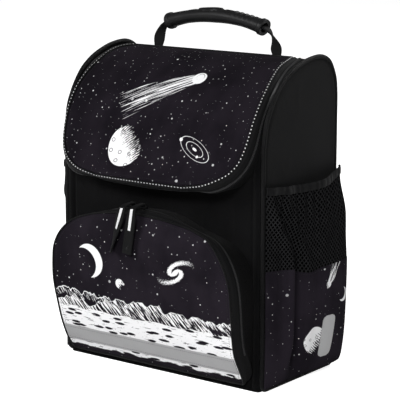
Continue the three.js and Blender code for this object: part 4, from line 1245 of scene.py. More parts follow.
def cut_away(piece, outline, front, back):
    """Cuts an outline in the XZ plane through the piece, between two depths."""
    points = [(x, y, z) for y in (front, back) for x, z in outline]
    count = len(outline)
    faces = [list(range(count)), list(range(2 * count - 1, count - 1, -1))]
    faces += [[i, i + count, (i + 1) % count + count, (i + 1) % count] for i in range(count)]
    cutter = new_object("mouth_cutter", points, faces, None, body_cloth)
    work = bmesh.new()
    work.from_mesh(cutter.data)
    bmesh.ops.recalc_face_normals(work, faces=work.faces)
    work.to_mesh(cutter.data)
    work.free()
    cut = piece.modifiers.new("mouth", "BOOLEAN")
    cut.operation, cut.object, cut.solver = "DIFFERENCE", cutter, "EXACT"
    settled(piece)
    bpy.data.objects.remove(cutter)


EDGE_ROLL = 1.5
EDGE_ROLL_PLACE = 4.4
EDGE_GROOVE = 1.0
EDGE_GROOVE_PLACE = 9.6
MOUTH_MARGIN = 12
MOUTH_TOP = 0.966

panel_width = 2 * panel_half
fine_across = np.concatenate([
    np.linspace(0, 13, 15), np.linspace(13, panel_width - 13, 62)[1:-1],
    np.linspace(panel_width - 13, panel_width, 15),
]) - panel_half


def front_panel_grid():
    """Front and top in one cloth, with a soft roll beside each side seam."""
    line, inward = wrap_line(190)
    x = fine_across[None]
    share = x / panel_half
    sag = TOP_SAG * (1 - share**2) * np.maximum(0, -inward[:, 1:])
    from_edge = panel_half - np.abs(x)
    roll = EDGE_ROLL * bump_at(from_edge, EDGE_ROLL_PLACE, 3.4)
    roll = roll - EDGE_GROOVE * bump_at(from_edge, EDGE_GROOVE_PLACE, 1.5)
    offset = sag - roll
    return np.stack([
        x + 0 * offset, line[:, :1] + offset * inward[:, :1], line[:, 1:] + offset * inward[:, 1:],
    ], -1)


def front_panel():
    grid = front_panel_grid()
    outward = grid * [0, 1, 1] - [0, 0, body_height / 2]
    piece = surface("front_and_top_cloth", grid, body_cloth, outward, PANEL_WALL)
    edge = lid_face[:, -1]
    top = MOUTH_TOP * body_height
    side = [(x - MOUTH_MARGIN, z + MOUTH_MARGIN) for x, _, z in edge[::6] if z < top - LID_CROWN]
    side.insert(0, (side[0][0], top))
    cut_away(piece, side + [(-x, z) for x, z in reversed(side)], -2 * half_depth, 0)
    dress(piece, "black_cloth", "front_panel")


SIDE_SEAM_DIP = 1.4


def side_panel(side):
    """Side wall: flat satin cloth that dips into the seam beside its piping."""
    line, inward = side_line(260)
    outline = line + inward * PIPING_RADIUS
    centre = np.array([0, body_height / 2])
    shares = [1, 0.99, 0.975, 0.96, 0.94, 0.91, 0.87, 0.8, 0.7, 0.6, 0.5, 0.4, 0.3, 0.2, 0.1, 0.02]
    rings = [np.column_stack([np.full(len(outline), side_face - PANEL_WALL), outline])]
    for share in shares:
        flat = centre + (outline - centre) * share
        x = side_face - SIDE_SEAM_DIP * smoothstep(share, 0.94, 1.0)
        rings.append(np.column_stack([np.full(len(flat), x), flat]))
    piece = loft(f"side_wall_{hand(side)}", np.array(rings) * [side, 1, 1], side_cloth)
    flat_map(piece, 1, 2)
    dress(piece, "black_cloth", f"side_panel_{hand(side)}")


def flat_map(piece, across, up):
    """UV map in metres from two of the axes."""
    mesh = piece.data
    place = np.zeros(len(mesh.vertices) * 3)
    mesh.vertices.foreach_get("co", place)
    corner = np.zeros(len(mesh.loops), np.int32)
    mesh.loops.foreach_get("vertex_index", corner)
    layer = mesh.uv_layers.get("cloth") or mesh.uv_layers.new(name="cloth")
    layer.data.foreach_set("uv", place.reshape(-1, 3)[corner][:, [across, up]].ravel())


def side_piping(side):
    line, inward = side_line(280)
    centre = line + inward * PIPING_RADIUS
    frames = (
        np.column_stack([np.full(len(line), half_width - PIPING_RADIUS), centre]),
        np.column_stack([np.zeros(len(line)), -inward]),
        np.tile([1.0, 0, 0], (len(line), 1)),
    )
    rings = np.array([round_ring(p, o, n, PIPING_RADIUS, 14) for p, n, o in zip(*frames)])
    piece = loft(f"side_rim_{hand(side)}", rings * [side, 1, 1], rim_cloth, loop=True)
    dress(piece, "binding", f"side_piping_{hand(side)}")


def base_panel():
    low, high = (np.array(corner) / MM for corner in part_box("base_panel"))
    half_x, half_y = high[0], (high[1] - low[1]) / 2
    radius = 4
    turn = np.linspace(0, math.pi / 2, 6)
    corner = [(half_x - radius + radius * math.cos(a), half_y - radius + radius * math.sin(a)) for a in turn]
    outline = np.array(
        corner + [(-x, y) for x, y in reversed(corner)] + [(-x, -y) for x, y in corner]
        + [(x, -y) for x, y in reversed(corner)]
    )
    profile = [(0.9, 0.0), (0.4, 0.0), (0.0, 0.5), (0.0, BASE_THICKNESS - 0.5), (0.4, BASE_THICKNESS)]
    rings = [
        np.column_stack([outline * (1 - inset / half_y), np.full(len(outline), z)]) for inset, z in profile
    ]
    piece = loft("base_cloth", rings, base_cloth)
    flat_map(piece, 0, 1)
    dress(piece, "black_cloth", "base_panel")


def top_binding():
    """Band over the seam between the lid and the top."""
    reach = lid_face[0, -1, 0]
    x = np.linspace(-reach, reach, 60)[None]
    share = x / panel_half
    first = lid_face[0, -1, 1]
    turn = np.linspace(0, 1, 9)[:, None]
    y = first + turn * HINGE_BAND_WIDTH
    _, foot = on_wrap(np.column_stack([np.zeros(9), y[:, 0], np.full(9, body_height)]))
    top = foot[:, 1:] - TOP_SAG * (1 - share**2)
    high = np.maximum(lid_face[0, -1, 2], top + 1)
    z = top - 0.6 + (high - top + 0.6) * smoothstep(np.sin(math.pi * turn), 0, 0.35)
    z = z + HINGE_BAND_RISE * np.sin(math.pi * turn)
    grid = np.stack([x + 0 * z, y + 0 * z, z], -1)
    piece = surface("hinge_binding", grid, binding_tape, [0, 0, 1], 0.8)
    dress(piece, "binding", "top_binding")


def lid_pieces():
    """Lid cloth, dotted piping, ribbed border, zipper tape and the wall behind it."""
    sink = 0.5 * bump_at(np.abs(np.linspace(-1, 1, LID_COLS + 1))[None, :, None], 1, 0.03)
    grid = lid_face - lid_normals * sink
    dress(surface("lid_cloth", grid, lid_print, lid_out, LID_WALL), "printed_cloth", "lid_panel")
    piping = moved_out(lid_frames, LID_PIPING + CLEARANCE)
    dress(tube("lid_piping_tube", piping, LID_PIPING, rim_cloth), "reflective", "lid_piping")
    line, facing, out = moved_out(lid_frames, LID_PIPING + 0.5, 0.75)
    path = (line, unit(facing + out * 0.4), False)
    dress(row_of("lid_piping_dots", [path], dot_shape, PIPING_DOT_PITCH, reflective_stripe), "reflective")
    start, band, end, seat = lid_corners
    toward = lid_frames[1] + lid_frames[2]
    grid, _ = strip_grid(start - lid_frames[2] * CLOTH, band, toward, 1.2, 7)
    dress(surface("lid_border_tape", grid, binding_tape, toward[:, None], CLOTH), "binding", "lid_border")
    grid, face = strip_grid(band, end, toward, 0.0, 7)
    dress(surface("lid_zip_tape", grid, zip_tape, toward[:, None], ZIP_TAPE_WALL), "webbing", "lid_zipper")
    middle = grid[:, 3] + face * ZIP_COIL_RISE
    path = (middle, face, False)
    dress(row_of("lid_zip_coil", [path], tooth_shape, ZIP_TOOTH_PITCH, zip_coil), "webbing")
    grid, _ = strip_grid(end, seat, toward, 0.0, 9)
    dress(surface("lid_wall_cloth", grid, body_cloth, toward[:, None], CLOTH), "black_cloth", "lid_gusset")


def pocket_pieces():
    """Pocket face, piping, border, zipper and the wall round it."""
    piece = surface("pocket_cloth", pocket_face, pocket_print, [0, -1, 0.2], POCKET_WALL)
    dress(piece, "printed_cloth", "pocket_face")
    piping = moved_out(pocket_frames, POCKET_PIPING + CLEARANCE)
    dress(tube("pocket_rim", piping, POCKET_PIPING, rim_cloth, True), "binding", "pocket_piping")
    start, band, end, seat = pocket_corners
    toward = pocket_frames[1] + pocket_frames[2]
    outward = toward[:, None]
    grid, _ = strip_grid(start - pocket_frames[2] * CLOTH, band, toward, 1.1, 7, True)
    piece = surface("pocket_border_tape", grid, binding_tape, outward, CLOTH, True)
    dress(piece, "binding", "pocket_border")
    grid, face = strip_grid(band, end, toward, 0.0, 7, True)
    piece = surface("pocket_zip_tape", grid, zip_tape, outward, ZIP_TAPE_WALL, True)
    dress(piece, "webbing", "pocket_zipper")
    middle = grid[:, 3] + face * ZIP_COIL_RISE
    zipped = np.flatnonzero(middle[:, 2] > POCKET_COIL_FOOT)
    gap = np.flatnonzero(np.diff(zipped) > 1)
    run = np.concatenate([zipped[gap[0] + 1:], zipped[:gap[0] + 1]]) if len(gap) else zipped
    path = (middle[run], face[run], False)
    dress(row_of("pocket_zip_coil", [path], tooth_shape, ZIP_TOOTH_PITCH, zip_coil), "webbing")
    seat = softened(seat, 40, True)
    grid, _ = strip_grid(softened(end, 6, True), seat, toward, -0.6, 12, True)
    piece = surface("pocket_wall_cloth", grid, body_cloth, outward, CLOTH, True)
    dress(piece, "black_cloth", "pocket_gusset")


def pocket_reflector():
    edge = pocket_edge(600)
    heights = np.linspace(REFLECTOR_LOW, REFLECTOR_HIGH, 9)
    rows = np.stack([np.interp(heights, edge[:, 2], edge[:, k]) for k in range(4)], 1)
    grid = pocket_surface(rows, np.linspace(-1, 1, 90)[None] * 0.992, REFLECTOR_WALL + CLEARANCE)
    strip = surface("pocket_reflective_strip", grid, reflective_tape, [0, -1, 0], REFLECTOR_WALL)
    dress(strip, "reflective", "pocket_reflector")
    rows = [(grid[k] + [0, -0.1, 0], np.tile([0, -1.0, 0], (90, 1)), False) for k in (1, 7)]
    name = "reflective_strip_stitches"
    dress(row_of(name, rows, fine_stitch_shape, FINE_STITCH_PITCH, thread_grey), "webbing")


# Sliders and pullers at the crown of the pocket zipper

top_index = int(np.argmax(pocket_corners[2][:, 2]))
zip_band, zip_end = pocket_corners[1][top_index], pocket_corners[2][top_index]
zip_across = unit((zip_end - zip_band) * [0, 1, 1])
zip_up = np.cross([1.0, 0, 0], zip_across)
zip_up = zip_up * np.sign(zip_up[2])
SLIDER = (9, 7, 4.5)
SLIDER_SECTIONS = [
    (-0.5, 0.45, 0.5), (-0.46, 0.72, 0.8), (-0.2, 0.95, 1), (0.05, 0.86, 0.96), (0.25, 1, 1),
    (0.46, 0.9, 0.8), (0.5, 0.6, 0.5),
]
zip_middle = (zip_band + zip_end) / 2 + zip_up * (CLEARANCE + SLIDER[2] / 2)
slider_low = zip_middle[2] - SLIDER[2] / 2


def slider(name, x, node):
    """Slider body with waisted sides and a bridge that holds the puller."""
    rings = []
    for along, wide, tall in SLIDER_SECTIONS:
        centre = np.array([x + along * SLIDER[0], zip_middle[1], zip_middle[2]])
        rings.append(band_ring(centre, zip_across, zip_up, SLIDER[1] * wide, SLIDER[2] * 0.72 * tall))
    body = loft(name, rings, enamel)
    turn = np.linspace(0, math.pi, 12)
    top = (zip_middle + zip_up * SLIDER[2] * 0.3) * [0, 1, 1] + [x, 0, 0]
    arc = [top + [math.cos(a) * 3.2, 0, 0] + zip_up * math.sin(a) * 2.4 for a in turn]
    bridge = loft(name + "_bridge", [
        round_ring(p, zip_across, unit(p - top), 0.9, 8) for p in arc
    ], enamel)
    dress(bridge, "hard_plastic")
    dress(body, "hard_plastic", node)


def puller_rings(x, lean, turn, count=26, width=PULLER_WIDTH, wall=PULLER_WALL, lift=0.0, part=(0, 1)):
    """Ribbon from the slider over the crown and down the face of the pocket."""
    face_y = -half_depth - POCKET_DEPTH - POCKET_CROWN
    top = zip_middle + zip_up * (SLIDER[2] / 2 + 1.3)
    start = np.array([x, top[1], top[2]])
    bend = np.array([x, face_y - 3.4, slider_low + 1])
    end = np.array([x + lean, face_y - 5.6, slider_low - PULLER_LENGTH])
    over = np.array([x, bend[1] + 1, start[2]])
    curve = [(1 - t) ** 2 * start + 2 * t * (1 - t) * over + t * t * bend for t in np.linspace(0, 1, 12)]
    curve += [bend + (end - bend) * t for t in np.linspace(0, 1, 24)[1:]]
    path = spaced(np.array(curve), count)
    tangents = unit(np.gradient(path, axis=0))
    rings = []
    for i, (centre, tangent) in enumerate(zip(path, tangents)):
        share = i / count
        if not part[0] <= share <= part[1]:
            continue
        angle = turn * smoothstep(share, 0.2, 1)
        across = np.array([math.cos(angle), -math.sin(angle), 0])
        across = unit(across - tangent * (across @ tangent))
        through = np.cross(tangent, across)
        through = through * (1 if through[1] < 0 else -1)
        wide = width * (0.55 + 0.45 * smoothstep(share, 0.1, 0.55)) if width > 6 else width
        rings.append(band_ring(centre + through * lift, across, through, wide, wall))
    return rings


def puller(name, x, lean, turn, node):
    dress(loft(name, puller_rings(x, lean, turn), puller_webbing), "webbing", node)
    stripe = puller_rings(x, lean, turn, 60, 3.6, 0.5, PULLER_WALL / 2 + 0.15, (0.27, 0.62))
    dress(loft(name + "_stripe", stripe, reflective_stripe), "reflective")
    ring = puller_rings(x, lean, turn, 60, PULLER_WIDTH, PULLER_WALL, 0.0, (0.9, 0.915))[0]
    centre, across = ring.mean(0), unit(ring[0] - ring[4])
    through = unit(ring[2] - centre)
    down = np.cross(across, through)
    rings = [
        round_ring(centre + through * (PULLER_WALL / 2 + lift), across, down, radius, 16)
        for radius, lift in ((1.5, -0.3), (1.5, 0.25), (1.2, 0.5), (0.5, 0.62))
    ]
    dress(loft(name + "_rivet", rings, enamel), "hard_plastic")


# Side pockets

GATHERS = 15
CREASE_PLACE = -0.29
NET_CREASE_PLACE = -0.72


def pocket_folds(columns, z, strength):
    """Deep crease of the side pocket, upright in the print and aslant in the net, and soft gathers."""
    depth = columns[None, :, 0] / half_depth
    low, high = columns[None, :, 2] * SIDE_POCKET_HEIGHT, columns[None, :, 3] * SIDE_POCKET_HEIGHT
    up = np.clip((z - low) / (high - low), 0, 1)
    closed = np.clip(np.minimum(depth + 0.95, 1 - depth) / 0.12, 0, 1)
    foot = smoothstep(z, SIDE_POCKET_FOOT, 60)
    place = CREASE_PLACE + (NET_CREASE_PLACE - CREASE_PLACE) * smoothstep(up, 0.05, 0.85)
    base = np.maximum(columns[None, :, 1], 0) * pocket_swell(z)
    full = base + foot * (1 - 0.7 * smoothstep(up, 0.75, 1)) * (
        7.5 * bump_at(depth, place - 0.21, 0.11) + 3.5 * bump_at(depth, place + 0.24, 0.1)
        + 6.0 * smoothstep(up, 0.1, 0.55) * bump_at(depth, CREASE_PLACE + 0.02, 0.17)
    )
    valley = smoothstep(depth - place, -0.13, -0.07) * (1 - smoothstep(depth - place, 0.08, 0.21))
    valley = valley * foot * (1 - 0.85 * smoothstep(up, 0.72, 1))
    crease = full * (1 - valley) + 0.9 * valley - base
    hugging = 0.62 * base * smoothstep(up, 0.5, 1) * smoothstep(depth, 0.25, 0.8)
    slant = np.sin((depth * 2.1 - up * 1.1) * math.pi * 2) * smoothstep(depth, -0.1, 0.3) * up * (1 - up) * 4
    run = lengths_along(columns[:, :2] * [1, SIDE_POCKET_SWELL])
    phase = run / run[-1] * GATHERS * 2 * math.pi
    wave = np.sin(phase + 0.7 * np.sin(phase * 0.37)) + 0.4 * np.sin(phase * 1.7 + 1)
    return closed * (crease + slant * 0.9 + wave[None] * strength) - hugging


def side_pocket(side):
    word = hand(side)
    facing = [side, 0.1, 0]
    columns = plan_line
    foot = np.full(len(columns), float(SIDE_POCKET_FOOT))
    printed = columns[:, 2] * SIDE_POCKET_HEIGHT
    mouth = columns[:, 3] * SIDE_POCKET_HEIGHT
    across = [side, 1, 1]
    z = levels_between(foot, printed, 64)
    share = np.linspace(0, 1, 65)[:, None]
    folds = pocket_folds(columns, z, 0.25 * smoothstep(share, 0.55, 1) + 0.08)
    grid = side_surface(columns, z, 0.0, folds) * across
    cloth = surface(f"side_pocket_cloth_{word}", grid, side_print, facing, CLOTH)
    dress(cloth, "printed_cloth", f"side_pocket_print_{word}")
    z = levels_between(printed - 1.5, mouth - MOUTH_BAND_HEIGHT + 1, 56)
    share = np.linspace(0, 1, 57)[:, None]
    folds = pocket_folds(columns, z, 0.8 * smoothstep(share, 0.3, 1) + 0.2)
    grid = side_surface(columns, z, -0.5, folds) * across
    net = surface(f"side_pocket_net_{word}", grid, pocket_net, facing, 0.5)
    dress(net, "mesh_cloth", f"side_pocket_mesh_{word}")
    z = levels_between(mouth - MOUTH_BAND_HEIGHT, mouth, 10)
    folds = pocket_folds(columns, z, 0.3) + 0.5 * np.sin(math.pi * np.linspace(0, 1, 11))[:, None]
    grid = side_surface(columns, z, MOUTH_BAND_WALL - CLOTH - 0.3, folds) * across
    band = surface(f"side_pocket_binding_tape_{word}", grid, mouth_tape, facing, MOUTH_BAND_WALL - 0.6)
    dress(band, "binding", f"side_pocket_binding_{word}")
    rows = []
    for level, lift, strength in (
        (printed - 2.2, 0.1, 0.33), (mouth - 1.6, 1.05, 0.3), (mouth - MOUTH_BAND_HEIGHT + 1.6, 1.05, 0.3),
    ):
        both = np.stack([level, level + 2])
        grid = side_surface(columns, both, lift, pocket_folds(columns, both, strength)) * across
        line, normals = grid[0], grid_normals(grid, facing)[0]
        rows.append((line[4:-4], normals[4:-4], False))
    name = f"side_pocket_stitches_{word}"
    dress(row_of(name, rows, fine_stitch_shape, FINE_STITCH_PITCH, thread_black), "webbing")


SIDE_REFLECTOR_LEAN = 5
SIDE_REFLECTOR_CORNER = 0.28


def side_reflector(side):
    """Reflective patch with round corners, on the fullest part of the printed cloth."""
    word = hand(side)
    up = np.linspace(-1, 1, 30)[:, None]
    over = np.linspace(-1, 1, 16)[None]
    near_end = np.clip((np.abs(up) - (1 - SIDE_REFLECTOR_CORNER)) / SIDE_REFLECTOR_CORNER, 0, 1)
    narrow = 1 - 0.55 * (1 - np.sqrt(1 - np.minimum(near_end, 0.999) ** 2))
    depth = SIDE_REFLECTOR_PLACE + over * narrow * SIDE_REFLECTOR_WIDTH / 2 + up * SIDE_REFLECTOR_LEAN / 2
    z = SIDE_REFLECTOR_LOW + (up + 1) / 2 * SIDE_REFLECTOR_HEIGHT + 0 * depth
    rear = plan_line[plan_line[:, 0] > -0.15 * half_depth]
    out = np.interp(depth, rear[:, 0], rear[:, 1])
    x = side_seat + out * pocket_swell(z) + 0.9
    grid = np.stack([x, depth, z], -1) * [side, 1, 1]
    patch = surface(f"side_reflective_patch_{word}", grid, patch_tape, [side, 0.1, 0], 0.8)
    dress(patch, "reflective", f"side_pocket_reflector_{word}")


# Handle

GRIP_SECTIONS = [
    (-1.0, 1.1, 1.06), (-0.985, 1.14, 1.1), (-0.93, 1.14, 1.1), (-0.915, 0.98, 0.98), (-0.6, 0.9, 0.94),
    (-0.28, 0.95, 0.98), (0.0, 1.0, 1.0), (0.28, 0.95, 0.98), (0.6, 0.9, 0.94), (0.915, 0.98, 0.98),
    (0.93, 1.14, 1.1), (0.985, 1.14, 1.1), (1.0, 1.1, 1.06),
]
PAD_PLACE = -7
PAD_HALF = 17
GRIP_RIDGE_PITCH = 6.4
DIMPLE_PITCH = 3.0


def grip_centre(along):
    return np.array([along * GRIP_LENGTH / 2, HANDLE_PLACE, handle_top - GRIP_TALL / 2 - GRIP_BOW * along**2])


def grip_up(along):
    return unit(np.array([4 * GRIP_BOW * along / GRIP_LENGTH, 0, 1.0]))


def grip_place(x, angle, lift):
    """Place on the grip at a distance along it and an angle from its top."""
    along = 2 * x / GRIP_LENGTH
    table = np.array(GRIP_SECTIONS)
    tall = np.interp(along, table[:, 0], table[:, 1]) * GRIP_TALL / 2
    deep = np.interp(along, table[:, 0], table[:, 2]) * GRIP_DEEP / 2
    out = grip_up(along) * math.cos(angle) * (tall + lift) + np.array([0, math.sin(angle) * (deep + lift), 0])
    return grip_centre(along) + out, unit(out)


def drawn_in(ring, share, step):
    """The ring made smaller about its middle and moved along X."""
    return ring.mean(0) + (ring - ring.mean(0)) * share + [step, 0, 0]


def handle_grip():
    """Moulded grip with an oval pad, ridges to one side of it and open, collared ends."""
    x = np.concatenate([
        np.linspace(-1, -0.9, 16), np.linspace(-0.9, 0.9, 170)[1:-1], np.linspace(0.9, 1, 16),
    ]) * GRIP_LENGTH / 2
    angles = np.linspace(0, 2 * math.pi, 48, endpoint=False)
    rings = []
    for place in x:
        ridge = smoothstep(place, PAD_HALF + 6, PAD_HALF + 10) * (1 - smoothstep(place, 50, 55))
        ring = []
        for angle in angles:
            top = max(0.0, math.cos(angle))
            near = math.hypot((place - PAD_PLACE) / PAD_HALF, min(angle, 2 * math.pi - angle) / 0.75)
            pad = 0.85 * (1 - smoothstep(near, 0.82, 1.0)) - 0.9 * bump_at(near, 1.08, 0.1)
            lift = pad - 0.8 + ridge * top**2 * 0.7 * math.sin(place * 2 * math.pi / GRIP_RIDGE_PITCH)
            ring.append(grip_place(place, angle, lift)[0])
        rings.append(ring)
    inner = 0.62
    first, last = np.array(rings[0]), np.array(rings[-1])
    collar = ((inner * 0.98, 6), (inner, 0.5), (0.9, 0))
    rings = [drawn_in(first, share, step) for share, step in collar] + rings
    rings += [drawn_in(last, share, -step) for share, step in reversed(collar)]
    dress(loft("moulded_grip", rings, grip_rubber), "rubber", "handle_grip")
    rows = []
    for angle in (-0.95, -0.7, 0.7, 0.95):
        for start, stop in ((-50, PAD_PLACE - PAD_HALF - 3), (PAD_PLACE + PAD_HALF + 3, 50)):
            both = [grip_place(place, angle, -0.75) for place in np.linspace(start, stop, 20)]
            rows.append(([p for p, _ in both], [n for _, n in both], False))
    dress(row_of("grip_dimples", rows, dimple_shape, DIMPLE_PITCH, grip_rubber), "rubber")


def cubic(a, b, c, d, t):
    t = np.asarray(t)[:, None]
    return (1 - t) ** 3 * a + 3 * (1 - t) ** 2 * t * b + 3 * (1 - t) * t * t * c + t**3 * d


def handle_webbing(side):
    """Webbing that rolls out of the grip and turns a quarter on its way to the seam."""
    foot_x = HANDLE_SPAN / 2
    _, foot = on_wrap([[0, HANDLE_PLACE, body_height]])
    foot_z = foot[0, 1] - TOP_SAG * (1 - (foot_x / panel_half) ** 2) + 2 * CLEARANCE
    leave = unit(np.array([1, 0, -4 * GRIP_BOW / GRIP_LENGTH]))
    start = grip_centre(1) + leave * 2 * CLEARANCE
    low = np.array([foot_x, HANDLE_PLACE, foot_z])
    high = low + [0, 0, HANDLE_WEB_DROP]
    line = cubic(start, start + leave * HANDLE_WEB_LEAVE, high, low, np.linspace(0, 1, 46))
    line = np.vstack([start - leave * 5, line])
    tangents = unit(np.gradient(line, axis=0))
    rings = []
    for i, (place, tangent) in enumerate(zip(line, tangents)):
        t = i / 46
        flat = unit(np.cross([0, 1, 0], tangent))
        angle = math.pi / 2 * smoothstep(t, 0.1, 0.85)
        across = np.array([0, 1, 0]) * math.cos(angle) + flat * math.sin(angle)
        through = unit(np.cross(tangent, across))
        wide = HANDLE_WEB_WIDTH * (0.42 + 0.12 * bump_at(t, 0, 0.25) + 0.24 * bump_at(t, 0.78, 0.2))
        rings.append(band_ring(place, across, through, wide, HANDLE_WEB_WALL * 0.8, 9))
    piece = loft(f"handle_band_{hand(side)}", np.array(rings) * [side, 1, 1], strap_webbing)
    dress(piece, "webbing", f"handle_webbing_{hand(side)}")


# Padding

PUFF_VOXEL = 4.5
PUFF_FRAMES = 20


def puffed(piece, pressure, cap):
    """Blows a padded piece up as cloth, then lets it move no further than the cap."""
    mesh = piece.data
    mesh.validate()
    remesh = piece.modifiers.new("even", "REMESH")
    remesh.mode, remesh.voxel_size = "VOXEL", PUFF_VOXEL * MM
    settled(piece)
    rest = np.zeros(len(piece.data.vertices) * 3)
    piece.data.vertices.foreach_get("co", rest)
    cloth = piece.modifiers.new("cloth", "CLOTH")
    cloth.settings.use_pressure = True
    cloth.settings.uniform_pressure_force = pressure
    cloth.settings.effector_weights.gravity = 0
    cloth.settings.quality = 4
    cloth.settings.tension_stiffness = 20
    cloth.settings.compression_stiffness = 12
    cloth.settings.bending_stiffness = 0.6
    cloth.point_cache.frame_start, cloth.point_cache.frame_end = 1, PUFF_FRAMES
    scene = bpy.context.scene
    for number in range(1, PUFF_FRAMES + 1):
        scene.frame_set(number)
    settled(piece)
    scene.frame_set(1)
    moved = np.zeros(len(rest))
    piece.data.vertices.foreach_get("co", moved)
    step = (moved - rest).reshape(-1, 3)
    size = np.linalg.norm(step, axis=1, keepdims=True)
    limit = cap * MM
    step = step * limit * np.tanh(size / limit) / np.maximum(size, 1e-9)
    piece.data.vertices.foreach_set("co", (rest.reshape(-1, 3) + step).ravel())
    even = piece.modifiers.new("even", "SUBSURF")
    even.levels = even.render_levels = 1
    return settled(piece, 180)


def back_panel():
    """Back wall with three upright pads of spacer cloth under the yoke."""
    pad_top = back_seam_height - YOKE_ZONE
    z = np.concatenate([
        [BASE_THICKNESS + CLEARANCE], np.linspace(BACK_PAD_FOOT, pad_top, 90), [back_seam_height - CLEARANCE],
    ])[:, None]
    u = np.linspace(0, 1, 121)[None]
    v = np.clip((z - BACK_PAD_FOOT) / (pad_top - BACK_PAD_FOOT), 0, 1)
    swell = np.abs(np.sin(math.pi * BACK_PADS * u)) * np.sin(math.pi * v)
    y = back_face + BACK_PAD_RISE * 0.85 * np.sqrt(np.maximum(0, swell))
    grid = np.stack([(2 * u - 1) * panel_half + 0 * y, y, z + 0 * y], -1)
    piece = surface("back_padding", grid, spacer_cloth, [0, 1, 0], BACK_PADDING)
    piece = puffed(piece, 3.0, 0.8)
    flat_map(piece, 0, 2)
    dress(piece, "black_cloth", "back_panel")
    rows = []
    for x in (-panel_half / 3, panel_half / 3):
        heights = np.linspace(BACK_PAD_FOOT + 3, pad_top - 3, 40)
        line = np.column_stack([np.full(40, x), np.full(40, back_face + 0.4), heights])
        rows.append((line, np.tile([0, 1.0, 0], (40, 1)), False))
    for level in (BACK_PAD_FOOT - 4, pad_top + 4):
        x = np.linspace(-panel_half + 6, panel_half - 6, 60)
        line = np.column_stack([x, np.full(60, back_face + 0.3), np.full(60, level)])
        rows.append((line, np.tile([0, 1.0, 0], (60, 1)), False))
    dress(row_of("back_stitches", rows, stitch_shape, STITCH_PITCH, thread_black), "webbing")


# Shoulder straps

strap_seat = back_face + CLEARANCE
strap_table = np.array(STRAP_SECTIONS)


def strap_ring(place, tangent, width, wall, points=9):
    across = unit(np.cross([0, 1, 0], tangent))
    return band_ring(place, across, unit(np.cross(tangent, across)), width, wall, points)


def strap_line():
    down, bow, wide, apart = smooth(strap_table[:, :4], 14).T
    half = STRAP_TOP_SPREAD + (BUCKLE_SPREAD - STRAP_TOP_SPREAD) * apart
    y = strap_seat + STRAP_WALL / 2 + bow * STRAP_BOW
    return np.column_stack([half / 2, y, strap_top_height - down * STRAP_LENGTH, wide])


def shoulder_strap(side):
    word = hand(side)
    line = spaced(strap_line(), 80)
    place, wide = line[:, :3], line[:, 3]
    tangents = unit(np.gradient(place, axis=0))
    tangents[0] = tangents[-1] = [0, 0, -1]
    rings = [
        strap_ring(p, t, STRAP_WIDTH * w - STRAP_SWELL, STRAP_WALL - STRAP_SWELL, 17)
        for p, t, w in zip(place, tangents, wide)
    ]
    rings = np.array(rings) * [side, 1, 1]
    piece = puffed(loft(f"padded_strap_{word}", rings, spacer_cloth), 3.0, 0.7)
    flat_map(piece, 0, 2)
    dress(piece, "black_cloth", f"shoulder_strap_{word}")
    edges = []
    for share in (-1, 1):
        across = unit(np.cross([0, 1, 0], tangents))
        through = unit(np.cross(tangents, across))
        edge = place + across * (STRAP_WIDTH * wide[:, None] / 2 - 2.0) * share
        edges.append((edge * [side, 1, 1], across * share * [side, 1, 1], through * [side, 1, 1]))
    for number, (edge, out, through) in enumerate(edges):
        rim = [round_ring(p, o, n, STRAP_RIM_RADIUS, CORD_SIDES, 2.2) for p, o, n in zip(edge, out, through)]
        dress(loft(f"strap_rim_{word}_{number}", rim, rim_cloth), "binding")
    rows = []
    for edge, out, through in edges:
        for facing in (-1, 1):
            line = edge - out * 2.4 + through * facing * (STRAP_WALL / 2 - 0.2)
            rows.append((line[3:-3], through[3:-3] * facing, False))
    dress(row_of(f"strap_stitches_{word}", rows, stitch_shape, STITCH_PITCH, thread_black), "webbing")


def strap_buckle(side):
    """Ladder buckle: a frame with two bars that the lower webbing runs round."""
    word = hand(side)
    top = strap_line()[-1, :3] - [0, 0, CLEARANCE]
    wide, deep, tall = BUCKLE
    left, right = top[0] - wide / 2, top[0] + wide / 2
    right_way, rear_way, up_way = np.eye(3)
    parts = []
    for index, x in enumerate((left + 2.4, right - 2.4)):
        rings = []
        for share, size in ((0, 0.7), (0.06, 1), (0.94, 1), (1, 0.7)):
            centre = np.array([x, top[1], top[2] - share * tall])
            rings.append(band_ring(centre, right_way, rear_way, 4.8 * size, deep * 0.7 * size, 5))
        parts.append(loft(f"buckle_side_{word}_{index}", np.array(rings) * [side, 1, 1], black_plastic))
    for index, (share, thick) in enumerate(((0.1, 4.6), (0.48, 3.4), (0.9, 4.6))):
        rings = []
        for x in np.linspace(left + 2, right - 2, 9):
            centre = np.array([x, top[1], top[2] - share * tall])
            rings.append(band_ring(centre, up_way, rear_way, thick, deep * 0.62, 4))
        parts.append(loft(f"buckle_bar_{word}_{index}", np.array(rings) * [side, 1, 1], black_plastic))
    dress(parts[0], "hard_plastic", f"strap_buckle_{word}")
    for part in parts[1:]:
        dress(part, "hard_plastic")


def lower_webbing(side):
    start = strap_line()[-1, :3] - [0, 0, 2 * CLEARANCE + BUCKLE[2]]
    end = np.array([LOWER_WEB_SPREAD / 2, back_face + LOWER_WEB_WALL / 2 + CLEARANCE, LOWER_WEB_HEIGHT])
    drop = start[2] - end[2]
    line = cubic(start, start - [0, 0, 0.3 * drop], end + [0, 0, 0.35 * drop], end, np.linspace(0, 1, 60))
    line = np.vstack([start + [0, 0, 7], line])
    tangents = unit(np.gradient(line, axis=0))
    rings = [strap_ring(p, t, LOWER_WEB_WIDTH, LOWER_WEB_WALL) for p, t in zip(line, tangents)]
    piece = loft(f"lower_band_{hand(side)}", np.array(rings) * [side, 1, 1], strap_webbing)
    dress(piece, "webbing", f"strap_webbing_{hand(side)}")


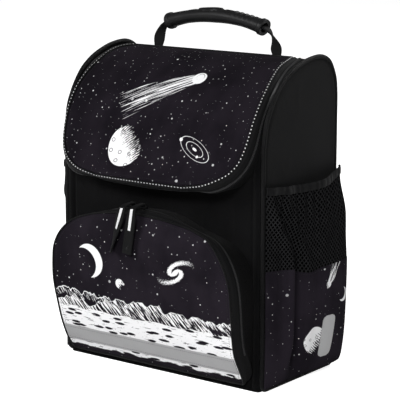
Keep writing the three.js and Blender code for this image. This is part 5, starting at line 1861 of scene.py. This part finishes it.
def strap_anchor():
    """Yoke over the upper ends of the straps, with box stitching."""
    low = strap_top_height + CLEARANCE
    x = np.linspace(-ANCHOR_WIDTH / 2, ANCHOR_WIDTH / 2, 60)[None]
    z = np.linspace(low, low + ANCHOR_HEIGHT, 16)[:, None]
    from_end = ANCHOR_WIDTH / 2 - np.abs(x)
    from_rim = np.minimum(z - low, low + ANCHOR_HEIGHT - z)
    edge = smoothstep(np.minimum(from_end, from_rim), 0, 4)
    y = strap_seat + ANCHOR_WALL * (0.62 + 0.38 * edge)
    grid = np.stack([x + 0 * y, y, z + 0 * y], -1)
    piece = surface("yoke", grid, body_cloth, [0, 1, 0], ANCHOR_WALL * 0.6)
    dress(piece, "black_cloth", "strap_anchor")
    box = np.array([(-1, 0.16), (1, 0.16), (1, 0.84), (-1, 0.84), (-1, 0.16)])
    line = spaced(np.column_stack([
        box[:, 0] * (ANCHOR_WIDTH / 2 - 4), np.full(5, strap_seat + ANCHOR_WALL - 0.1),
        low + box[:, 1] * ANCHOR_HEIGHT,
    ]), 160)
    path = (line, np.tile([0, 1.0, 0], (len(line), 1)), False)
    dress(row_of("yoke_stitches", [path], stitch_shape, STITCH_PITCH, thread_black), "webbing")


# Stitches along the sewn edges of the lid and pocket

def edge_stitches():
    line, facing, out = lid_frames
    rows = [(line - out * EDGE_STITCH_IN + facing * 0.1, facing, False)]
    dress(row_of("lid_edge_stitches", rows, fine_stitch_shape, EDGE_STITCH_PITCH, thread_black), "webbing")
    line, facing, out = pocket_frames
    rows = [(line - out * EDGE_STITCH_IN + facing * 0.1, facing, True)]
    dress(row_of("pocket_edge_stitches", rows, fine_stitch_shape, EDGE_STITCH_PITCH, thread_black), "webbing")


front_panel()
back_panel()
base_panel()
top_binding()
lid_pieces()
pocket_pieces()
pocket_reflector()
slider("zip_slider_right", 0, "pocket_slider_right")
slider("zip_slider_left", -SLIDER_SPACING, "pocket_slider_left")
puller("ribbon_right", 0, RIGHT_PULLER_LEAN, 0, "pocket_puller_right")
puller("ribbon_left", -SLIDER_SPACING, LEFT_PULLER_LEAN, LEFT_PULLER_TURN, "pocket_puller_left")
handle_grip()
strap_anchor()
for side in (1, -1):
    side_panel(side)
    side_piping(side)
    side_pocket(side)
    side_reflector(side)
    handle_webbing(side)
    shoulder_strap(side)
    strap_buckle(side)
    lower_webbing(side)
edge_stitches()
for shape in (stitch_shape, fine_stitch_shape, dot_shape, tooth_shape, dimple_shape):
    bpy.data.objects.remove(shape)


# Floor, world, lights and camera

def plain_finish(name, colour, rough):
    material, tree, shader, vector = new_finish(name, "Object")
    x, y, _ = apart(tree, vector)
    cloud = noise(x, y, 0.6, 0.6, 2)
    feed(tree, shader.inputs["Base Color"], blended(tree, cloud, colour, tuple(c * 0.99 for c in colour)))
    feed(tree, shader.inputs["Roughness"], cloud * 0.05 + rough)
    return material


def seen_by_camera(tree):
    """1 for what the camera sees straight, 0 for the light that falls on the backpack."""
    return Wire(tree, tree.nodes.new("ShaderNodeLightPath").outputs["Is Camera Ray"])


floor_finish = plain_finish("pale_floor", (0.8, 0.8, 0.8), 0.8)
floor_shader = floor_finish.node_tree.nodes["Principled BSDF"]
floor_shader.inputs["Emission Color"].default_value = (1, 1, 1, 1)
floor_glow = seen_by_camera(floor_finish.node_tree) * 0.86
feed(floor_finish.node_tree, floor_shader.inputs["Emission Strength"], floor_glow)
turn = np.linspace(0, 2 * math.pi, 96, endpoint=False)
ground_disc = new_object(
    "floor", np.column_stack([np.cos(turn), np.sin(turn), 0 * turn]) * 14000 + [0, 0, -0.2],
    [list(range(96))], None, floor_finish,
)

world = bpy.data.worlds.new("studio")
bpy.context.scene.world = world
world.use_nodes = True
backdrop = world.node_tree.nodes["Background"]
backdrop.inputs["Color"].default_value = (1, 1, 1, 1)
feed(world.node_tree, backdrop.inputs["Strength"], seen_by_camera(world.node_tree) * 0.94 + 0.11)


def soft_light(name, place, aim, size, power):
    data = bpy.data.lights.new(name, "AREA")
    data.shape, data.size, data.energy = "DISK", size, power
    lamp = bpy.data.objects.new(name, data)
    bpy.context.scene.collection.objects.link(lamp)
    lamp.location = place
    lamp.rotation_euler = (Vector(aim) - Vector(place)).to_track_quat("-Z", "Y").to_euler()
    return lamp


soft_light("key_light", (-1.35, -2.6, 1.9), (0, 0, 0.2), 1.3, 70)
soft_light("side_light", (1.5, -2.7, 1.7), (0, 0, 0.2), 0.7, 62)
soft_light("rear_light", (0.6, 2.4, 2.2), (0, 0, 0.3), 1.6, 55)

AZIMUTH, PITCH, DISTANCE = math.radians(37.3), math.radians(11.4), 1.88
camera_data = bpy.data.cameras.new("view")
camera_data.lens = 151.2
camera_data.sensor_width = 36
camera_data.shift_x, camera_data.shift_y = 0.003, 0.0045
camera_data.clip_start, camera_data.clip_end = 0.1, 60
camera = bpy.data.objects.new("view", camera_data)
bpy.context.scene.collection.objects.link(camera)
target = Vector((0, body_middle * MM, 0.18))
away = Vector((
    math.sin(AZIMUTH) * math.cos(PITCH), -math.cos(AZIMUTH) * math.cos(PITCH), math.sin(PITCH),
))
camera.location = target + away * DISTANCE
camera.rotation_euler = (-away).to_track_quat("-Z", "Y").to_euler()
bpy.context.scene.camera = camera
bpy.context.scene.view_settings.view_transform = "Standard"
